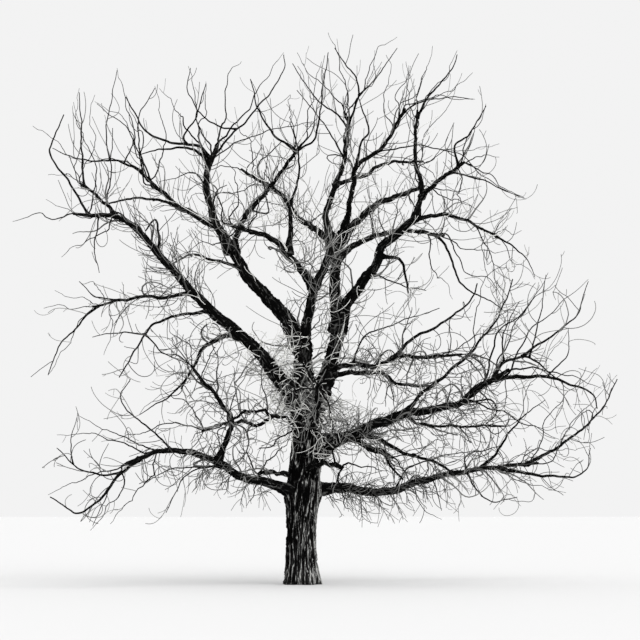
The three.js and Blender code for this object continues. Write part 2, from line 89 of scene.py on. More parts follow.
def seen(points):
    away, lift = points[..., 1] + EYE_AWAY, points[..., 2] - EYE_HEIGHT
    forward = away * math.cos(EYE_TILT) + lift * math.sin(EYE_TILT)
    upward = lift * math.cos(EYE_TILT) - away * math.sin(EYE_TILT)
    across = (points[..., 0] - EYE_RIGHT) / forward * EYE_AWAY + SHEET_RIGHT
    return np.stack([across, upward / forward * EYE_AWAY + SHEET_UP], axis=-1)


print("the trunk's foot on the sheet:", seen(np.zeros(3)).round(3))

# %% [markdown]
# ## Camera, light and floor
# The photograph was taken with a long lens from standing height, 40 m away, tilted up a little. A tilted
# camera is used in place of a shifted one, because a shift would stay in every other view. The sky is an
# even white world, a large soft sun adds a little modelling from above, and the floor is a plain pale
# plane that runs to the horizon.

# %% Camera
SENSOR = 36.0
FOCAL_PIXELS = 1778
PICTURE_PIXELS = 640
FAR_SIGHT = 5000


def add_object(name, data):
    made = bpy.data.objects.new(name, data)
    bpy.context.collection.objects.link(made)
    return made


camera_data = bpy.data.cameras.new("camera")
camera_data.sensor_width = SENSOR
camera_data.lens = SENSOR * (FOCAL_PIXELS / PICTURE_PIXELS)
camera_data.clip_end = FAR_SIGHT
camera = add_object("camera", camera_data)
camera.location = (EYE_RIGHT, -EYE_AWAY, EYE_HEIGHT)
camera.rotation_euler = (math.radians(90) + EYE_TILT, 0, 0)
bpy.context.scene.camera = camera
print("lens:", round(camera_data.lens, 1), "mm")

# %% Sky and sun
SKY_WHITE = 0.895
SUN_STRENGTH = 2.4
SUN_SPREAD = math.radians(70)
SUN_TURN = (math.radians(35), math.radians(28), 0)


def grey(tone, warmth=1):
    return (tone, tone, tone * warmth, 1)


bpy.context.scene.view_settings.view_transform = "Standard"
world = bpy.data.worlds.new("pale_sky")
world.use_nodes = True
sky = world.node_tree.nodes["Background"]
sky.inputs["Color"].default_value = grey(SKY_WHITE)
sky.inputs["Strength"].default_value = 1
bpy.context.scene.world = world

sun_data = bpy.data.lights.new("soft_sun", "SUN")
sun_data.energy = SUN_STRENGTH
sun_data.angle = SUN_SPREAD
add_object("soft_sun", sun_data).rotation_euler = SUN_TURN
print("sky", SKY_WHITE, "and sun", SUN_STRENGTH)

# %% Floor
FLOOR_HALF = 1500.0
FLOOR_LEVEL = -0.004
FLOOR_TONE = 0.66


def new_material(name, values):
    material = bpy.data.materials.new(name)
    material.use_nodes = True
    shader = material.node_tree.nodes["Principled BSDF"]
    for label, value in values.items():
        shader.inputs[label].default_value = value
    return material, shader


floor_mesh = bpy.data.meshes.new("floor")
corners = [(-1, -1), (1, -1), (1, 1), (-1, 1)]
floor_corners = [(x * FLOOR_HALF, y * FLOOR_HALF, FLOOR_LEVEL) for x, y in corners]
floor_mesh.from_pydata(floor_corners, [], [(0, 1, 2, 3)])
floor_values = {"Base Color": grey(FLOOR_TONE), "Roughness": 0.9, "Specular IOR Level": 0.1}
floor_mesh.materials.append(new_material("pale_floor", floor_values)[0])
floor = add_object("floor", floor_mesh)
floor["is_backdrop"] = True
print("floor:", 2 * FLOOR_HALF, "m square")

# %% [markdown]
# ## The limbs, told by their bends
# These are the same sizes as the solids have. Each bough names the limb that carries it, the
# share of that limb's length where it leaves, its thickness at the root and the tip in millimetres, and
# the few bends it passes, as across, up and depth. A smooth curve is laid through them later, so a limb
# needs no more points than it has bends.

# %% Trunk and boughs
TRUNK_LINE = [[0, 0], [1.2, -0.01], [2.5, 0.05], [3.6, 0.12], [4.35, 0.14]]
TRUNK_WIDTH = [
    [0, 0.88], [0.2, 0.79], [0.45, 0.71], [0.8, 0.665], [1.2, 0.65], [1.55, 0.665], [1.8, 0.7], [2, 0.72],
    [2.15, 0.715], [2.35, 0.69], [2.6, 0.66], [3.2, 0.63], [3.6, 0.66], [3.9, 0.74], [4.15, 0.68],
    [4.35, 0.45],
]
BOUGHS = {
    "left_limb": ("trunk", 0.9, 350, 80, [
        (-0.4, 4.55, -0.2), (-1.05, 5.35, -0.65), (-2.15, 6.3, -1.2), (-3.2, 7.45, -1.75),
        (-4, 8.25, -2.15), (-4.9, 8.35, -2.5)]),
    "left_shelf_bough": ("left_limb", 0.55, 88, 45, [
        (-3, 6.5, -1.8), (-3.65, 6.5, -2.3), (-4.6, 6.3, -3.2)]),
    "left_drooping_bough": ("left_limb", 0.34, 132, 54, [
        (-1.8, 5.6, -0.35), (-2.15, 5.4, 0), (-2.4, 5, 0.35), (-2.65, 4.55, 0.6)]),
    "left_fan_bough": ("left_limb", 0.9, 90, 54, [(-4.4, 8.6, -1.9), (-4.9, 9, -1.3)]),
    "left_stem": ("trunk", 0.9, 425, 220, [
        (0.05, 4.7, 0.1), (-0.05, 5.45, 0.2), (-0.45, 6.15, 0.4), (-1.2, 6.95, 0.75), (-1.6, 7.65, 1)]),
    "left_high_limb": ("left_stem", 1, 168, 88, [(-1.8, 7.95, 1.2), (-2.9, 8.65, 2), (-3.45, 9.15, 2.4)]),
    "left_leader": ("left_stem", 0.97, 212, 130, [
        (-1.85, 8, 1.15), (-2.1, 8.75, 1.7), (-2.15, 9.2, 2.1), (-2, 9.65, 2.4)]),
    "left_inner_bough": ("left_stem", 0.94, 140, 70, [
        (-1.45, 7.9, 0.55), (-1.25, 8.35, 0.1), (-0.85, 8.8, -0.4), (-0.1, 9.8, -1.5)]),
    "centre_stem": ("left_stem", 0.28, 232, 178, [
        (0.1, 5.75, -0.2), (0.2, 6.35, -0.4), (0.35, 6.85, -0.5), (0.65, 7.5, -0.4),
        (0.65, 7.85, -0.25)]),
    "centre_leader": ("centre_stem", 1, 160, 82, [
        (0.55, 8.35, 0.1), (0.8, 9.1, 0.3), (0.95, 9.55, 0.4), (1.05, 10.35, 0.6)]),
    "front_left_bough": ("centre_stem", 0.56, 178, 76, [
        (0, 7.1, -1), (-0.3, 7.45, -1.6), (-0.65, 7.8, -2.2), (-1.55, 8.1, -3.2)]),
    "right_stem": ("trunk", 0.9, 370, 200, [
        (0.5, 4.55, 0.1), (0.8, 5.7, 0.25), (0.75, 6.6, 0.4), (0.8, 7.45, 0.4), (1, 8.1, 0.4)]),
    "right_inner_limb": ("right_stem", 1, 136, 62, [
        (1.15, 8.95, -0.35), (1.25, 9.45, -0.9), (1.8, 9.85, -1.5), (2.25, 10.6, -2.2)]),
    "back_right_bough": ("right_stem", 0.94, 190, 93, [
        (1.35, 8.3, 1.2), (1.7, 8.6, 2), (2.1, 8.75, 2.8), (2.65, 8.95, 3.9)]),
    "back_left_bough": ("right_stem", 0.87, 165, 78, [
        (0.35, 8, 1), (-0.1, 8.3, 1.9), (-0.4, 8.75, 2.7), (-1.25, 9.3, 3.9)]),
    "right_shelf_bough": ("centre_leader", 0.49, 105, 56, [
        (1.1, 9.15, 0.9), (1.45, 9.25, 1.5), (1.85, 9.5, 2.1), (2.65, 9.55, 3.2)]),
    "right_limb": ("right_stem", 0.44, 262, 160, [
        (1, 6.3, -0.1), (1.3, 6.75, -0.5), (1.65, 7.2, -0.9), (1.8, 7.6, -1.2), (2.6, 8.3, -1.85)]),
    "right_high_limb": ("right_limb", 1, 128, 58, [
        (2.7, 8.85, -1.9), (2.55, 9.7, -1.7), (2.6, 10.55, -1.5)]),
    "right_fan_bough": ("right_high_limb", 0.21, 105, 72, [(3, 9.05, -2.4), (3.55, 9.45, -3.3)]),
    "right_arching_bough": ("right_limb", 0.97, 98, 50, [
        (3.05, 8.35, -1.3), (3.5, 8.3, -0.8), (3.95, 8.1, -0.2), (4.4, 7.85, 0.3)]),
    "right_middle_bough": ("right_stem", 0.82, 145, 86, [
        (1.25, 7.7, 0.9), (2.2, 8, 1.9), (3.05, 7.9, 2.8)]),
    "right_low_shelf_bough": ("right_stem", 0.24, 122, 58, [
        (1.15, 5, -0.6), (1.7, 4.95, -1.3), (2.15, 5.15, -1.9), (2.85, 5.15, -2.6), (3.45, 5.2, -3.1)]),
    "right_low_limb": ("trunk", 0.64, 285, 110, [
        (0.6, 3.15, -0.25), (1, 3.35, -0.5), (2.25, 3.85, -1.25), (3.5, 4.1, -1.95), (3.95, 4.45, -2.2),
        (4.4, 4.7, -2.4)]),
    "right_low_back_bough": ("trunk", 0.74, 180, 90, [
        (0.65, 3.35, 0.4), (1.1, 3.3, 0.9), (1.9, 2.95, 1.9)]),
    "right_low_front_bough": ("right_low_limb", 0.53, 66, 40, [
        (2.65, 3.65, -1.9), (3.1, 3.6, -2.5), (4.45, 3.6, -3.8)]),
    "lowest_right_limb": ("trunk", 0.49, 245, 74, [
        (0.55, 2.2, 0.3), (1.1, 2.2, 0.6), (1.75, 2.1, 0.9), (3, 2.45, 1.5), (4.15, 2.65, 2),
        (5.15, 2.75, 2.3)]),
    "lowest_left_limb": ("trunk", 0.45, 225, 90, [
        (-0.5, 2.25, -0.3), (-1.45, 2.5, -0.75), (-1.8, 2.75, -0.95), (-2.75, 3.05, -1.45),
        (-3.3, 3, -1.75), (-3.7, 2.85, -1.95)]),
    "left_rising_bough": ("lowest_left_limb", 0.54, 138, 62, [
        (-1.75, 3.15, -1.25), (-1.6, 3.5, -1.5), (-1.6, 3.8, -1.8), (-2.4, 4.85, -3)]),
}
print("boughs:", len(BOUGHS))

# %% [markdown]
# ## The masses of twigs
# A mass starts with one stem at a bough's tip or on the trunk, and its leaders swing out from there to
# their ends. The row gives the carrier, the share of it where the stem leaves, the stem's thickness, its
# bends where it has any, how much the leaders arch up or droop, and the ends they reach.

# %% Masses
MASSES = {
    "left_tip_twigs": ("left_limb", 1, 78, [], 0.35, [
        (-6.5, 8.2, -3.3), (-5.15, 10.65, -2.7), (-5.4, 7.4, -3.6), (-5.75, 8.7, -1.5)]),
    "left_shelf_twigs": ("left_shelf_bough", 1, 44, [], 0.1, [
        (-5.8, 6.25, -3.8), (-5.7, 4.75, -4.3), (-5.55, 6.65, -2.8), (-4.95, 6.8, -4.5),
        (-4.45, 5.2, -2.6)]),
    "left_drooping_twigs": ("left_drooping_bough", 1, 49, [], -0.2, [
        (-3.65, 3.85, 1.3), (-3.35, 4.15, 0.1), (-2.6, 3.45, 1.9), (-3.2, 5.3, 2.2)]),
    "left_fan_twigs": ("left_fan_bough", 1, 51, [], 0.6, [
        (-5, 11.2, -0.7), (-4.65, 11.05, -1.8), (-6.05, 10.35, -1.2), (-5.7, 9.25, -0.2)]),
    "left_high_twigs": ("left_high_limb", 1, 86, [], 0.5, [
        (-5.25, 9.65, 3.1), (-4.15, 11.65, 2.6), (-3.95, 11.05, 3.6), (-3.3, 11.25, 1.7),
        (-4.65, 10.9, 4)]),
    "left_leader_twigs": ("left_leader", 1, 116, [], 0.5, [
        (-0.4, 12, 2.3), (-1.35, 11.8, 3.4), (-2.55, 11.7, 1.9), (-3.2, 11.2, 3), (-2.15, 11.35, 3.8)]),
    "left_inner_twigs": ("left_inner_bough", 1, 66, [], 0.5, [
        (0.45, 11.8, -1.5), (-1.15, 11.4, -2.2), (-0.25, 11.05, -3.2)]),
    "crown_top_twigs": ("centre_leader", 1, 80, [], 0.5, [
        (0.6, 12.45, 0.7), (2.15, 12.35, 1.2), (-0.1, 12, -0.4), (1.65, 12.05, 2), (1.1, 11.5, 2.9)]),
    "front_left_twigs": ("front_left_bough", 1, 73, [], 0.3, [
        (-2.5, 9.2, -4.2), (-1.8, 9.6, -4.6), (-2.75, 7.4, -4.6), (-0.9, 9.35, -4.2)]),
    "right_inner_twigs": ("right_inner_limb", 1, 60, [], 0.5, [
        (3.9, 10.95, -3), (2.35, 11.8, -2.3), (2.8, 11.6, -3.4), (1.9, 11.95, -1.6)]),
    "back_right_twigs": ("back_right_bough", 1, 90, [], 0.2, [
        (4.05, 8.4, 5), (4.05, 9, 4), (3.3, 10.1, 4.8), (3.1, 7.45, 5.2)]),
    "back_left_twigs": ("back_left_bough", 1, 73, [], 0.4, [
        (-2.3, 9.5, 4.8), (-0.9, 10.5, 4.5), (-1.7, 10.55, 5.4), (-2.7, 8.55, 5.2)]),
    "right_shelf_twigs": ("right_shelf_bough", 1, 54, [], 0.3, [
        (4.45, 9.95, 3.6), (3.5, 11.3, 2.8), (3.7, 8.8, 4.2)]),
    "right_high_twigs": ("right_high_limb", 1, 57, [], 0.4, [
        (2.95, 12.15, -1.2), (3.5, 12.05, -1.8), (3.85, 11.55, -0.7), (2.45, 11.7, -0.5)]),
    "right_fan_twigs": ("right_fan_bough", 1, 70, [], 0.2, [
        (5.05, 8.7, -3.8), (4.15, 10.85, -3.6), (4.45, 9.65, -4.3), (3.8, 8.55, -4.8)]),
    "right_arching_twigs": ("right_arching_bough", 1, 49, [], -0.2, [
        (5.25, 6.9, 0.8), (4.7, 8.5, -0.1), (4.95, 8, 1.3), (4.4, 6.6, 0.2)]),
    "right_middle_twigs": ("right_middle_bough", 1, 83, [], -0.3, [
        (4.6, 6.35, 3.8), (4.8, 7.55, 3.2), (3.4, 6.45, 4.2)]),
    "right_low_shelf_twigs": ("right_low_shelf_bough", 1, 57, [], 0.6, [
        (4.75, 7.4, -3.5), (3.9, 6.45, -4.3), (4.95, 5.55, -3.9)]),
    "right_low_twigs": ("right_low_limb", 1, 105, [], 0.5, [
        (6.75, 4.45, -3), (6.45, 6.9, -2), (5.55, 7.05, -2.9), (5.75, 6.8, -1.2), (5.8, 3.3, -3.6)]),
    "right_low_back_twigs": ("right_low_back_bough", 1, 88, [], -0.3, [
        (3.15, 1.5, 3), (2.25, 1.6, 2.4), (3.45, 3.3, 3.8), (2.8, 2.4, 4.2)]),
    "right_low_front_twigs": ("right_low_front_bough", 1, 39, [], 0.4, [
        (6, 5.75, -4.6), (4.9, 2.2, -4.8), (5.95, 3.6, -5)]),
    "lowest_right_twigs": ("lowest_right_limb", 1, 70, [], 0.3, [
        (7.1, 4.75, 3), (6.65, 4.9, 1.8), (6.5, 3.15, 3.6), (5.95, 2.1, 2.6)]),
    "lowest_left_twigs": ("lowest_left_limb", 1, 86, [], 0.1, [
        (-4.75, 1.25, -2.7), (-5.7, 2.05, -3), (-5.5, 3.4, -2.4), (-5.05, 3.85, -1.5),
        (-4.3, 1.4, -3.6)]),
    "left_rising_twigs": ("left_rising_bough", 1, 60, [], 0.4, [
        (-3.45, 5.3, -3.6), (-3, 6.05, -4.1), (-2.15, 5.95, -4.4)]),
    "left_mid_twigs": ("trunk", 0.88, 92, [
        (-0.3, 4, 0.5), (-0.9, 3.65, 1.2), (-1.4, 3.7, 1.9), (-1.95, 3.6, 2.6)], 0.1, [
        (-4.5, 3.25, 3.8), (-3.4, 4.5, 4.2), (-2.8, 2.8, 4.4)]),
    "left_front_twigs": ("trunk", 0.79, 72, [
        (-0.35, 3.75, -0.7), (-1.15, 3.95, -2), (-1.55, 3.75, -2.8)], 0.1, [
        (-2.5, 3.25, -3.9), (-2.15, 2.4, -4.3), (-1.55, 4.95, -4.5)]),
    "front_twigs": ("trunk", 0.78, 110, [(0.25, 3.7, -1), (0.35, 4, -2.1), (0.35, 4.35, -3.1)], 0.3, [
        (-0.05, 5.75, -5.2), (1.05, 5.4, -5.4), (-0.65, 4.4, -5), (0.7, 3.45, -5.5)]),
    "front_low_twigs": ("trunk", 0.58, 110, [(0.25, 2.7, -1), (0.55, 2.75, -2), (0.8, 2.7, -3)], -0.1, [
        (1.15, 1.65, -4.6), (1.95, 2.6, -4.8), (1, 3.75, -5)]),
    "back_twigs": ("trunk", 0.81, 120, [(0.05, 4, 1.1), (-0.1, 4.4, 2.2), (-0.1, 4.8, 3.3)], 0.3, [
        (-0.6, 6.45, 5.4), (0.55, 6.45, 5.6), (-1.15, 5.05, 5.2), (0.9, 4.35, 5.4)]),
    "back_low_twigs": ("trunk", 0.53, 110, [(-0.25, 2.5, 1.1), (-0.6, 2.55, 2.1), (-0.9, 2.55, 3.2)], 0, [
        (-1.65, 3.3, 4.8), (-1.25, 1.75, 4.8), (-0.25, 3.45, 5.3)]),
    "fork_tangle_twigs": ("trunk", 0.85, 70, [(0.25, 3.95, -0.55)], 0.1, [
        (-0.35, 4.5, -0.95), (0.7, 4.55, -1.1), (-0.1, 3.15, -0.85), (0.85, 3.45, -0.9),
        (0.25, 5.05, -1.25)]),
}
print("masses:", len(MASSES))

# %% [markdown]
# ## The smaller branches
# Between the boughs and the twigs the photograph shows crooked side branches as thick as an arm or a
# wrist. They grow on from the boughs in the same way, each with its carrier, the share where it leaves,
# its two thicknesses and its bends. A row may name an earlier branch as its carrier.

# %% Branches
BRANCHES = {
    "tip_hook": ("left_limb", 1, 56, 24, [(-5.2, 9.05, -2.6), (-5.65, 9.75, -2.7), (-5.35, 10.6, -2.8)]),
    "limb_hook": ("left_limb", 0.72, 62, 34, [(-3.2, 7.95, -1.9), (-3.3, 8.25, -2), (-3.5, 8, -2.2)]),
    "limb_drop": ("left_limb", 0.95, 34, 14, [(-4.65, 7.55, -2.5), (-4.55, 7.05, -2.7)]),
    "left_comb": ("left_limb", 0.47, 75, 24, [
        (-2.4, 6.15, -1.3), (-3.3, 5.9, -1.9), (-3.8, 5.2, -2.5), (-4.1, 4.7, -2.8)]),
    "left_comb_out": ("left_comb", 0.6, 36, 15, [(-4.25, 5.7, -2.4), (-4.7, 5.6, -2.7)]),
    "left_comb_in": ("left_comb", 0.6, 36, 15, [(-3.1, 5.25, -2.1), (-2.45, 4.95, -2.3)]),
    "shelf_fall": ("left_shelf_bough", 1, 44, 18, [
        (-4.85, 6.05, -3.3), (-5.5, 5.3, -3.9), (-5.7, 4.75, -4.2)]),
    "shelf_rise": ("left_shelf_bough", 0.75, 40, 15, [(-4.6, 6.5, -2.9), (-5, 6.85, -3.1)]),
    "droop_tail": ("left_drooping_bough", 1, 48, 18, [(-2.95, 4.3, 0.7), (-3.65, 3.85, 1.2)]),
    "fan_riser": ("left_fan_bough", 1, 50, 18, [(-4.95, 9.8, -1.2), (-4.95, 10.2, -1), (-5, 11.1, -0.8)]),
    "fan_inner": ("left_fan_bough", 0.35, 36, 15, [(-4.3, 9.2, -1.7), (-4.25, 10.3, -1.6)]),
    "high_tip": ("left_high_limb", 1, 70, 18, [
        (-3.75, 9.4, 2.5), (-4.1, 9.55, 2.7), (-5, 9.6, 3), (-5.6, 9.85, 3.1)]),
    "high_riser": ("left_high_limb", 0.97, 46, 18, [
        (-3.65, 9.9, 2.3), (-3.65, 10.55, 2), (-3.3, 11.2, 1.8)]),
    "high_whip": ("high_tip", 0.3, 36, 15, [(-3.8, 10.1, 2.9), (-4.6, 10.85, 3.3)]),
    "high_whip_out": ("high_tip", 0.45, 36, 15, [(-4.4, 10.1, 2.8), (-4.15, 11.6, 2.7)]),
    "high_low": ("left_high_limb", 0.5, 82, 42, [(-3.3, 8.7, 2.2), (-3.95, 8.7, 2.5), (-4.35, 8.6, 2.8)]),
    "bridge": ("left_stem", 0.86, 80, 40, [(-1.85, 7.3, 1), (-2.5, 7.45, 1.3), (-2.9, 7.25, 1.6)]),
    "leader_top": ("left_leader", 1, 60, 20, [
        (-1.8, 9.9, 2.5), (-1, 10.75, 2.4), (-0.4, 11.6, 2.3), (-0.4, 11.95, 2.3)]),
    "leader_arc": ("left_leader", 0.97, 84, 26, [
        (-2.28, 9.88, 2.35), (-2.7, 9.94, 2.2), (-3.4, 10.15, 2), (-3.65, 10.45, 1.8), (-3.95, 11, 1.6)]),
    "leader_arc_low": ("leader_arc", 0.27, 50, 20, [
        (-2.65, 10.1, 2.1), (-2.4, 10.5, 1.9), (-2.15, 11.3, 1.6)]),
    "leader_arc_under": ("left_leader", 0.92, 84, 22, [
        (-2.28, 9.74, 2), (-2.62, 9.85, 1.8), (-3.2, 9.82, 1.6), (-3.65, 9.7, 1.4)]),
    "leader_drift": ("left_leader", 0.7, 36, 12, [
        (-2.42, 9.3, 1.7), (-2.7, 9.22, 1.5), (-3.2, 9.1, 1.3)]),
    "leader_stub": ("left_leader", 0.42, 44, 18, [(-1.9, 8.9, 1.5), (-1.68, 9.02, 1.4)]),
    "leader_back": ("leader_top", 0.3, 45, 18, [(-2, 10.4, 2.7), (-2.55, 11.1, 2.8), (-2.5, 11.65, 2.8)]),
    "leader_span": ("left_leader", 0.98, 36, 15, [
        (-1.5, 9.95, 2.6), (-0.7, 10.25, 2.6), (0.3, 10.45, 2.6)]),
    "inner_left": ("left_inner_bough", 1, 60, 20, [
        (-0.65, 10.2, -1.7), (-0.9, 10.55, -1.8), (-1.15, 11.4, -2)]),
    "inner_right": ("left_inner_bough", 1, 50, 20, [
        (0.3, 10.1, -1.5), (0.45, 11, -1.5), (0.6, 12, -1.5)]),
    "top_left": ("centre_leader", 1, 46, 18, [(0.8, 10.6, 0.5), (0.3, 11, 0.3), (-0.2, 11.75, 0)]),
    "top_main": ("centre_leader", 1, 62, 20, [(1.2, 10.8, 0.7), (1.3, 11.2, 0.7), (0.75, 12.1, 0.7)]),
    "top_right": ("top_main", 0.4, 42, 16, [(1.65, 11.4, 1), (2.15, 12.1, 1.2)]),
    "top_cross": ("centre_leader", 0.72, 40, 18, [(0.5, 10.4, 0.2), (-0.1, 11.15, 0.1)]),
    "back_riser": ("back_left_bough", 0.75, 50, 24, [(-1, 9.4, 3.7), (-0.45, 10, 3.8)]),
    "back_climb": ("centre_stem", 0.3, 70, 24, [(0.4, 6.75, 0.9), (0.6, 7.4, 2.2), (0.75, 8, 3.5)]),
    "front_riser": ("front_left_bough", 0.4, 145, 70, [(-0.25, 8.1, -1.6), (-0.25, 8.6, -1.4)]),
    "knot_riser": ("front_riser", 0.98, 64, 20, [
        (-0.12, 9, -1.4), (-0.05, 9.65, -1.6), (-0.25, 10.4, -1.9)]),
    "knot_side": ("front_riser", 0.9, 50, 18, [(-0.5, 8.85, -1.7), (-0.85, 9.3, -2.2)]),
    "inner_short": ("right_inner_limb", 0.45, 64, 24, [
        (1.35, 9.95, -0.9), (1.5, 10.2, -0.9), (1.3, 10.95, -0.8)]),
    "inner_sweep": ("right_inner_limb", 0.68, 36, 12, [
        (2.65, 9.9, -1.9), (3.65, 9.65, -2.2), (4.1, 9.2, -2.4), (4.9, 8.75, -2.6)]),
    "inner_tip": ("right_inner_limb", 1, 40, 14, [
        (2.5, 10.8, -2.4), (3.25, 11, -2.7), (3.85, 10.95, -2.9)]),
    "right_top": ("right_high_limb", 1, 56, 20, [
        (2.85, 11, -1.6), (3.4, 11.65, -1.7), (3.5, 11.95, -1.8)]),
    "fan_up": ("right_fan_bough", 1, 52, 18, [(3.45, 9.9, -3.4), (3.8, 10.2, -3.5), (4.15, 10.8, -3.5)]),
    "fan_out": ("right_fan_bough", 0.8, 42, 12, [(3.7, 9.25, -3.1), (4.25, 9.05, -3.4), (5, 8.72, -3.7)]),
    "middle_fall": ("right_middle_bough", 1, 66, 20, [
        (3.25, 7.65, 2.9), (3.6, 6.8, 3.1), (4.35, 6.35, 3.5), (4.6, 6.15, 3.7)]),
    "arch_tail": ("right_arching_bough", 1, 48, 15, [
        (4.75, 7.65, 0.5), (5.1, 7.3, 0.7), (5.25, 6.95, 0.8)]),
    "arch_drop": ("right_arching_bough", 0.75, 30, 12, [(4.3, 7.3, -0.1), (4.4, 6.5, 0.1)]),
    "limb_curl": ("right_limb", 0.62, 84, 42, [(1.95, 7.4, -1.1), (2.25, 7.3, -0.9), (2.4, 6.6, -0.6)]),
    "limb_shelf": ("right_limb", 0.5, 42, 18, [(2.15, 6.8, -0.6), (2.8, 6.65, -0.4)]),
    "shelf_sweep": ("right_low_shelf_bough", 0.56, 80, 28, [
        (2.55, 5.6, -2), (3.15, 5.9, -2.2), (3.85, 6.5, -2.4), (3.95, 6.8, -2.4)]),
    "shelf_over": ("right_low_shelf_bough", 0.22, 42, 18, [
        (1.35, 5.55, -0.7), (1.7, 5.75, -0.5), (3.1, 6.25, -0.2)]),
    "back_shelf": ("right_stem", 0.2, 125, 58, [
        (1.25, 4.8, 0.8), (1.9, 4.75, 1.3), (2.15, 4.55, 1.6), (2.9, 4.5, 2)]),
    "low_out": ("right_low_limb", 1, 96, 26, [
        (4.8, 4.7, -2.5), (5.5, 4.7, -2.7), (6.55, 4.3, -2.9), (6.65, 4, -3)]),
    "low_over": ("right_low_limb", 1, 78, 24, [(4.5, 5, -2.3), (5.05, 5.15, -2.4), (5.7, 4.7, -2.6)]),
    "low_horn": ("low_over", 0.5, 54, 15, [(5.5, 5.55, -2.4), (6.15, 6.05, -2.2), (6.45, 6.85, -2)]),
    "low_whip": ("low_over", 0.6, 38, 12, [(5.35, 6, -2.6), (5.5, 7, -2.8)]),
    "low_riser": ("low_over", 0.25, 42, 15, [(4.55, 5.7, -2.2), (4.9, 6.4, -2)]),
    "low_prong": ("low_out", 0.45, 36, 12, [(6, 5.25, -2.8), (6, 5.8, -2.9)]),
    "low_diagonal": ("right_low_limb", 0.52, 90, 24, [
        (2.8, 4.4, -1.3), (3.7, 5.15, -1.2), (4.5, 6.2, -1.1), (4.75, 6.9, -1)]),
    "low_twist": ("right_low_limb", 0.8, 50, 24, [
        (4.3, 4.15, -2.3), (4.4, 3.9, -2.4), (4.15, 3.65, -2.5)]),
    "under_low": ("right_low_limb", 0.2, 110, 48, [
        (1.6, 3.35, -0.7), (2.4, 2.95, -1), (3, 2.8, -1.2), (3.45, 2.5, -1.4)]),
    "under_stub": ("right_low_limb", 0.14, 105, 40, [
        (1.2, 3.26, -0.55), (1.54, 3.06, -0.7), (1.86, 2.95, -0.8), (2, 2.7, -0.85), (2.28, 2.4, -0.9)]),
    "lowest_horn": ("lowest_right_limb", 1, 84, 24, [
        (5.8, 3.15, 2.5), (6.5, 3.7, 2.7), (6.8, 4.05, 2.8), (7.1, 4.65, 3)]),
    "lowest_out": ("lowest_right_limb", 0.86, 95, 18, [
        (5.3, 2.5, 2.4), (6.35, 2.55, 3), (6.5, 3.1, 3.2)]),
    "lowest_up": ("lowest_right_limb", 0.72, 42, 18, [(3.7, 2.9, 1.7), (4.45, 3.15, 1.8)]),
    "lowest_rise": ("lowest_right_limb", 0.79, 74, 16, [
        (4.35, 2.97, 1.9), (4.55, 3.25, 1.8), (4.86, 3.69, 1.7), (5.48, 4.19, 1.5)]),
    "lowest_span": ("lowest_right_limb", 0.4, 46, 18, [
        (2.3, 2.55, 1), (2.9, 2.85, 0.8), (3.9, 3.05, 0.6)]),
    "lowest_under": ("lowest_right_limb", 0.72, 46, 18, [
        (3.95, 2.15, 1.9), (4.3, 1.9, 2.1), (4.85, 2, 2.3)]),
    "lowest_drop": ("lowest_right_limb", 0.55, 40, 15, [(2.95, 2.4, 1.2), (3.15, 1.7, 1.2)]),
    "foot_out": ("lowest_left_limb", 1, 80, 24, [
        (-4.1, 2.5, -2.1), (-4.45, 2.05, -2.4), (-5, 1.65, -2.7), (-5.65, 2, -2.9)]),
    "foot_shelf": ("foot_out", 0.2, 50, 20, [(-4.55, 2.5, -2.3), (-5, 2.65, -2.4), (-5.5, 3.1, -2.5)]),
    "foot_riser": ("foot_shelf", 0.7, 30, 12, [(-5.2, 3.15, -2.3), (-5.05, 3.8, -2.2)]),
    "foot_drop": ("foot_out", 0.3, 32, 12, [(-4.45, 1.9, -2.6), (-4.7, 1.35, -2.8)]),
    "left_low_riser": ("lowest_left_limb", 0.8, 46, 18, [
        (-3.25, 3.4, -1.7), (-4, 4.05, -1.9), (-4.05, 4.3, -1.9), (-3.85, 4.65, -2)]),
    "left_low_drop": ("lowest_left_limb", 0.5, 40, 15, [
        (-2.6, 2.5, -0.9), (-2.9, 1.95, -0.8), (-3.05, 1.65, -0.7)]),
    "left_low_span": ("lowest_left_limb", 0.46, 42, 15, [(-2.8, 2.65, -0.7), (-3.65, 2.3, -0.4)]),
    "fork_curl": ("trunk", 0.82, 46, 24, [(-0.55, 3.3, -0.5), (-0.65, 3.15, -0.6), (-0.95, 3.1, -0.8)]),
}
print("branches:", len(BRANCHES))

# %% [markdown]
# ## Smooth curves
# A limb has no corners, so a smooth curve is laid through its bends, a cubic stretch between each two.
# The centripetal kind of curve is used, because it makes no loops where two bends lie close together.
# The curve is then walked in equal steps, so that a share of its points is also a share of its length.

# %% Curve helpers
DENSE_STEPS = 24


def unit(vectors):
    return vectors / np.maximum(np.linalg.norm(vectors, axis=-1, keepdims=True), 1e-9)


def stretch(p0, p1, p2, p3, shares):
    spans = [max(np.linalg.norm(b - a), 1e-6) ** 0.5 for a, b in ((p0, p1), (p1, p2), (p2, p3))]
    leave = (p1 - p0) / spans[0] - (p2 - p0) / (spans[0] + spans[1]) + (p2 - p1) / spans[1]
    arrive = (p2 - p1) / spans[1] - (p3 - p1) / (spans[1] + spans[2]) + (p3 - p2) / spans[2]
    leave, arrive = leave * spans[1], arrive * spans[1]
    w = shares[:, None]
    square = -3 * p1 + 3 * p2 - 2 * leave - arrive
    cube = 2 * p1 - 2 * p2 + leave + arrive
    return p1 + leave * w + square * w**2 + cube * w**3


def walked_lengths(points):
    return np.concatenate([[0], np.cumsum(np.linalg.norm(np.diff(points, axis=0), axis=1))])


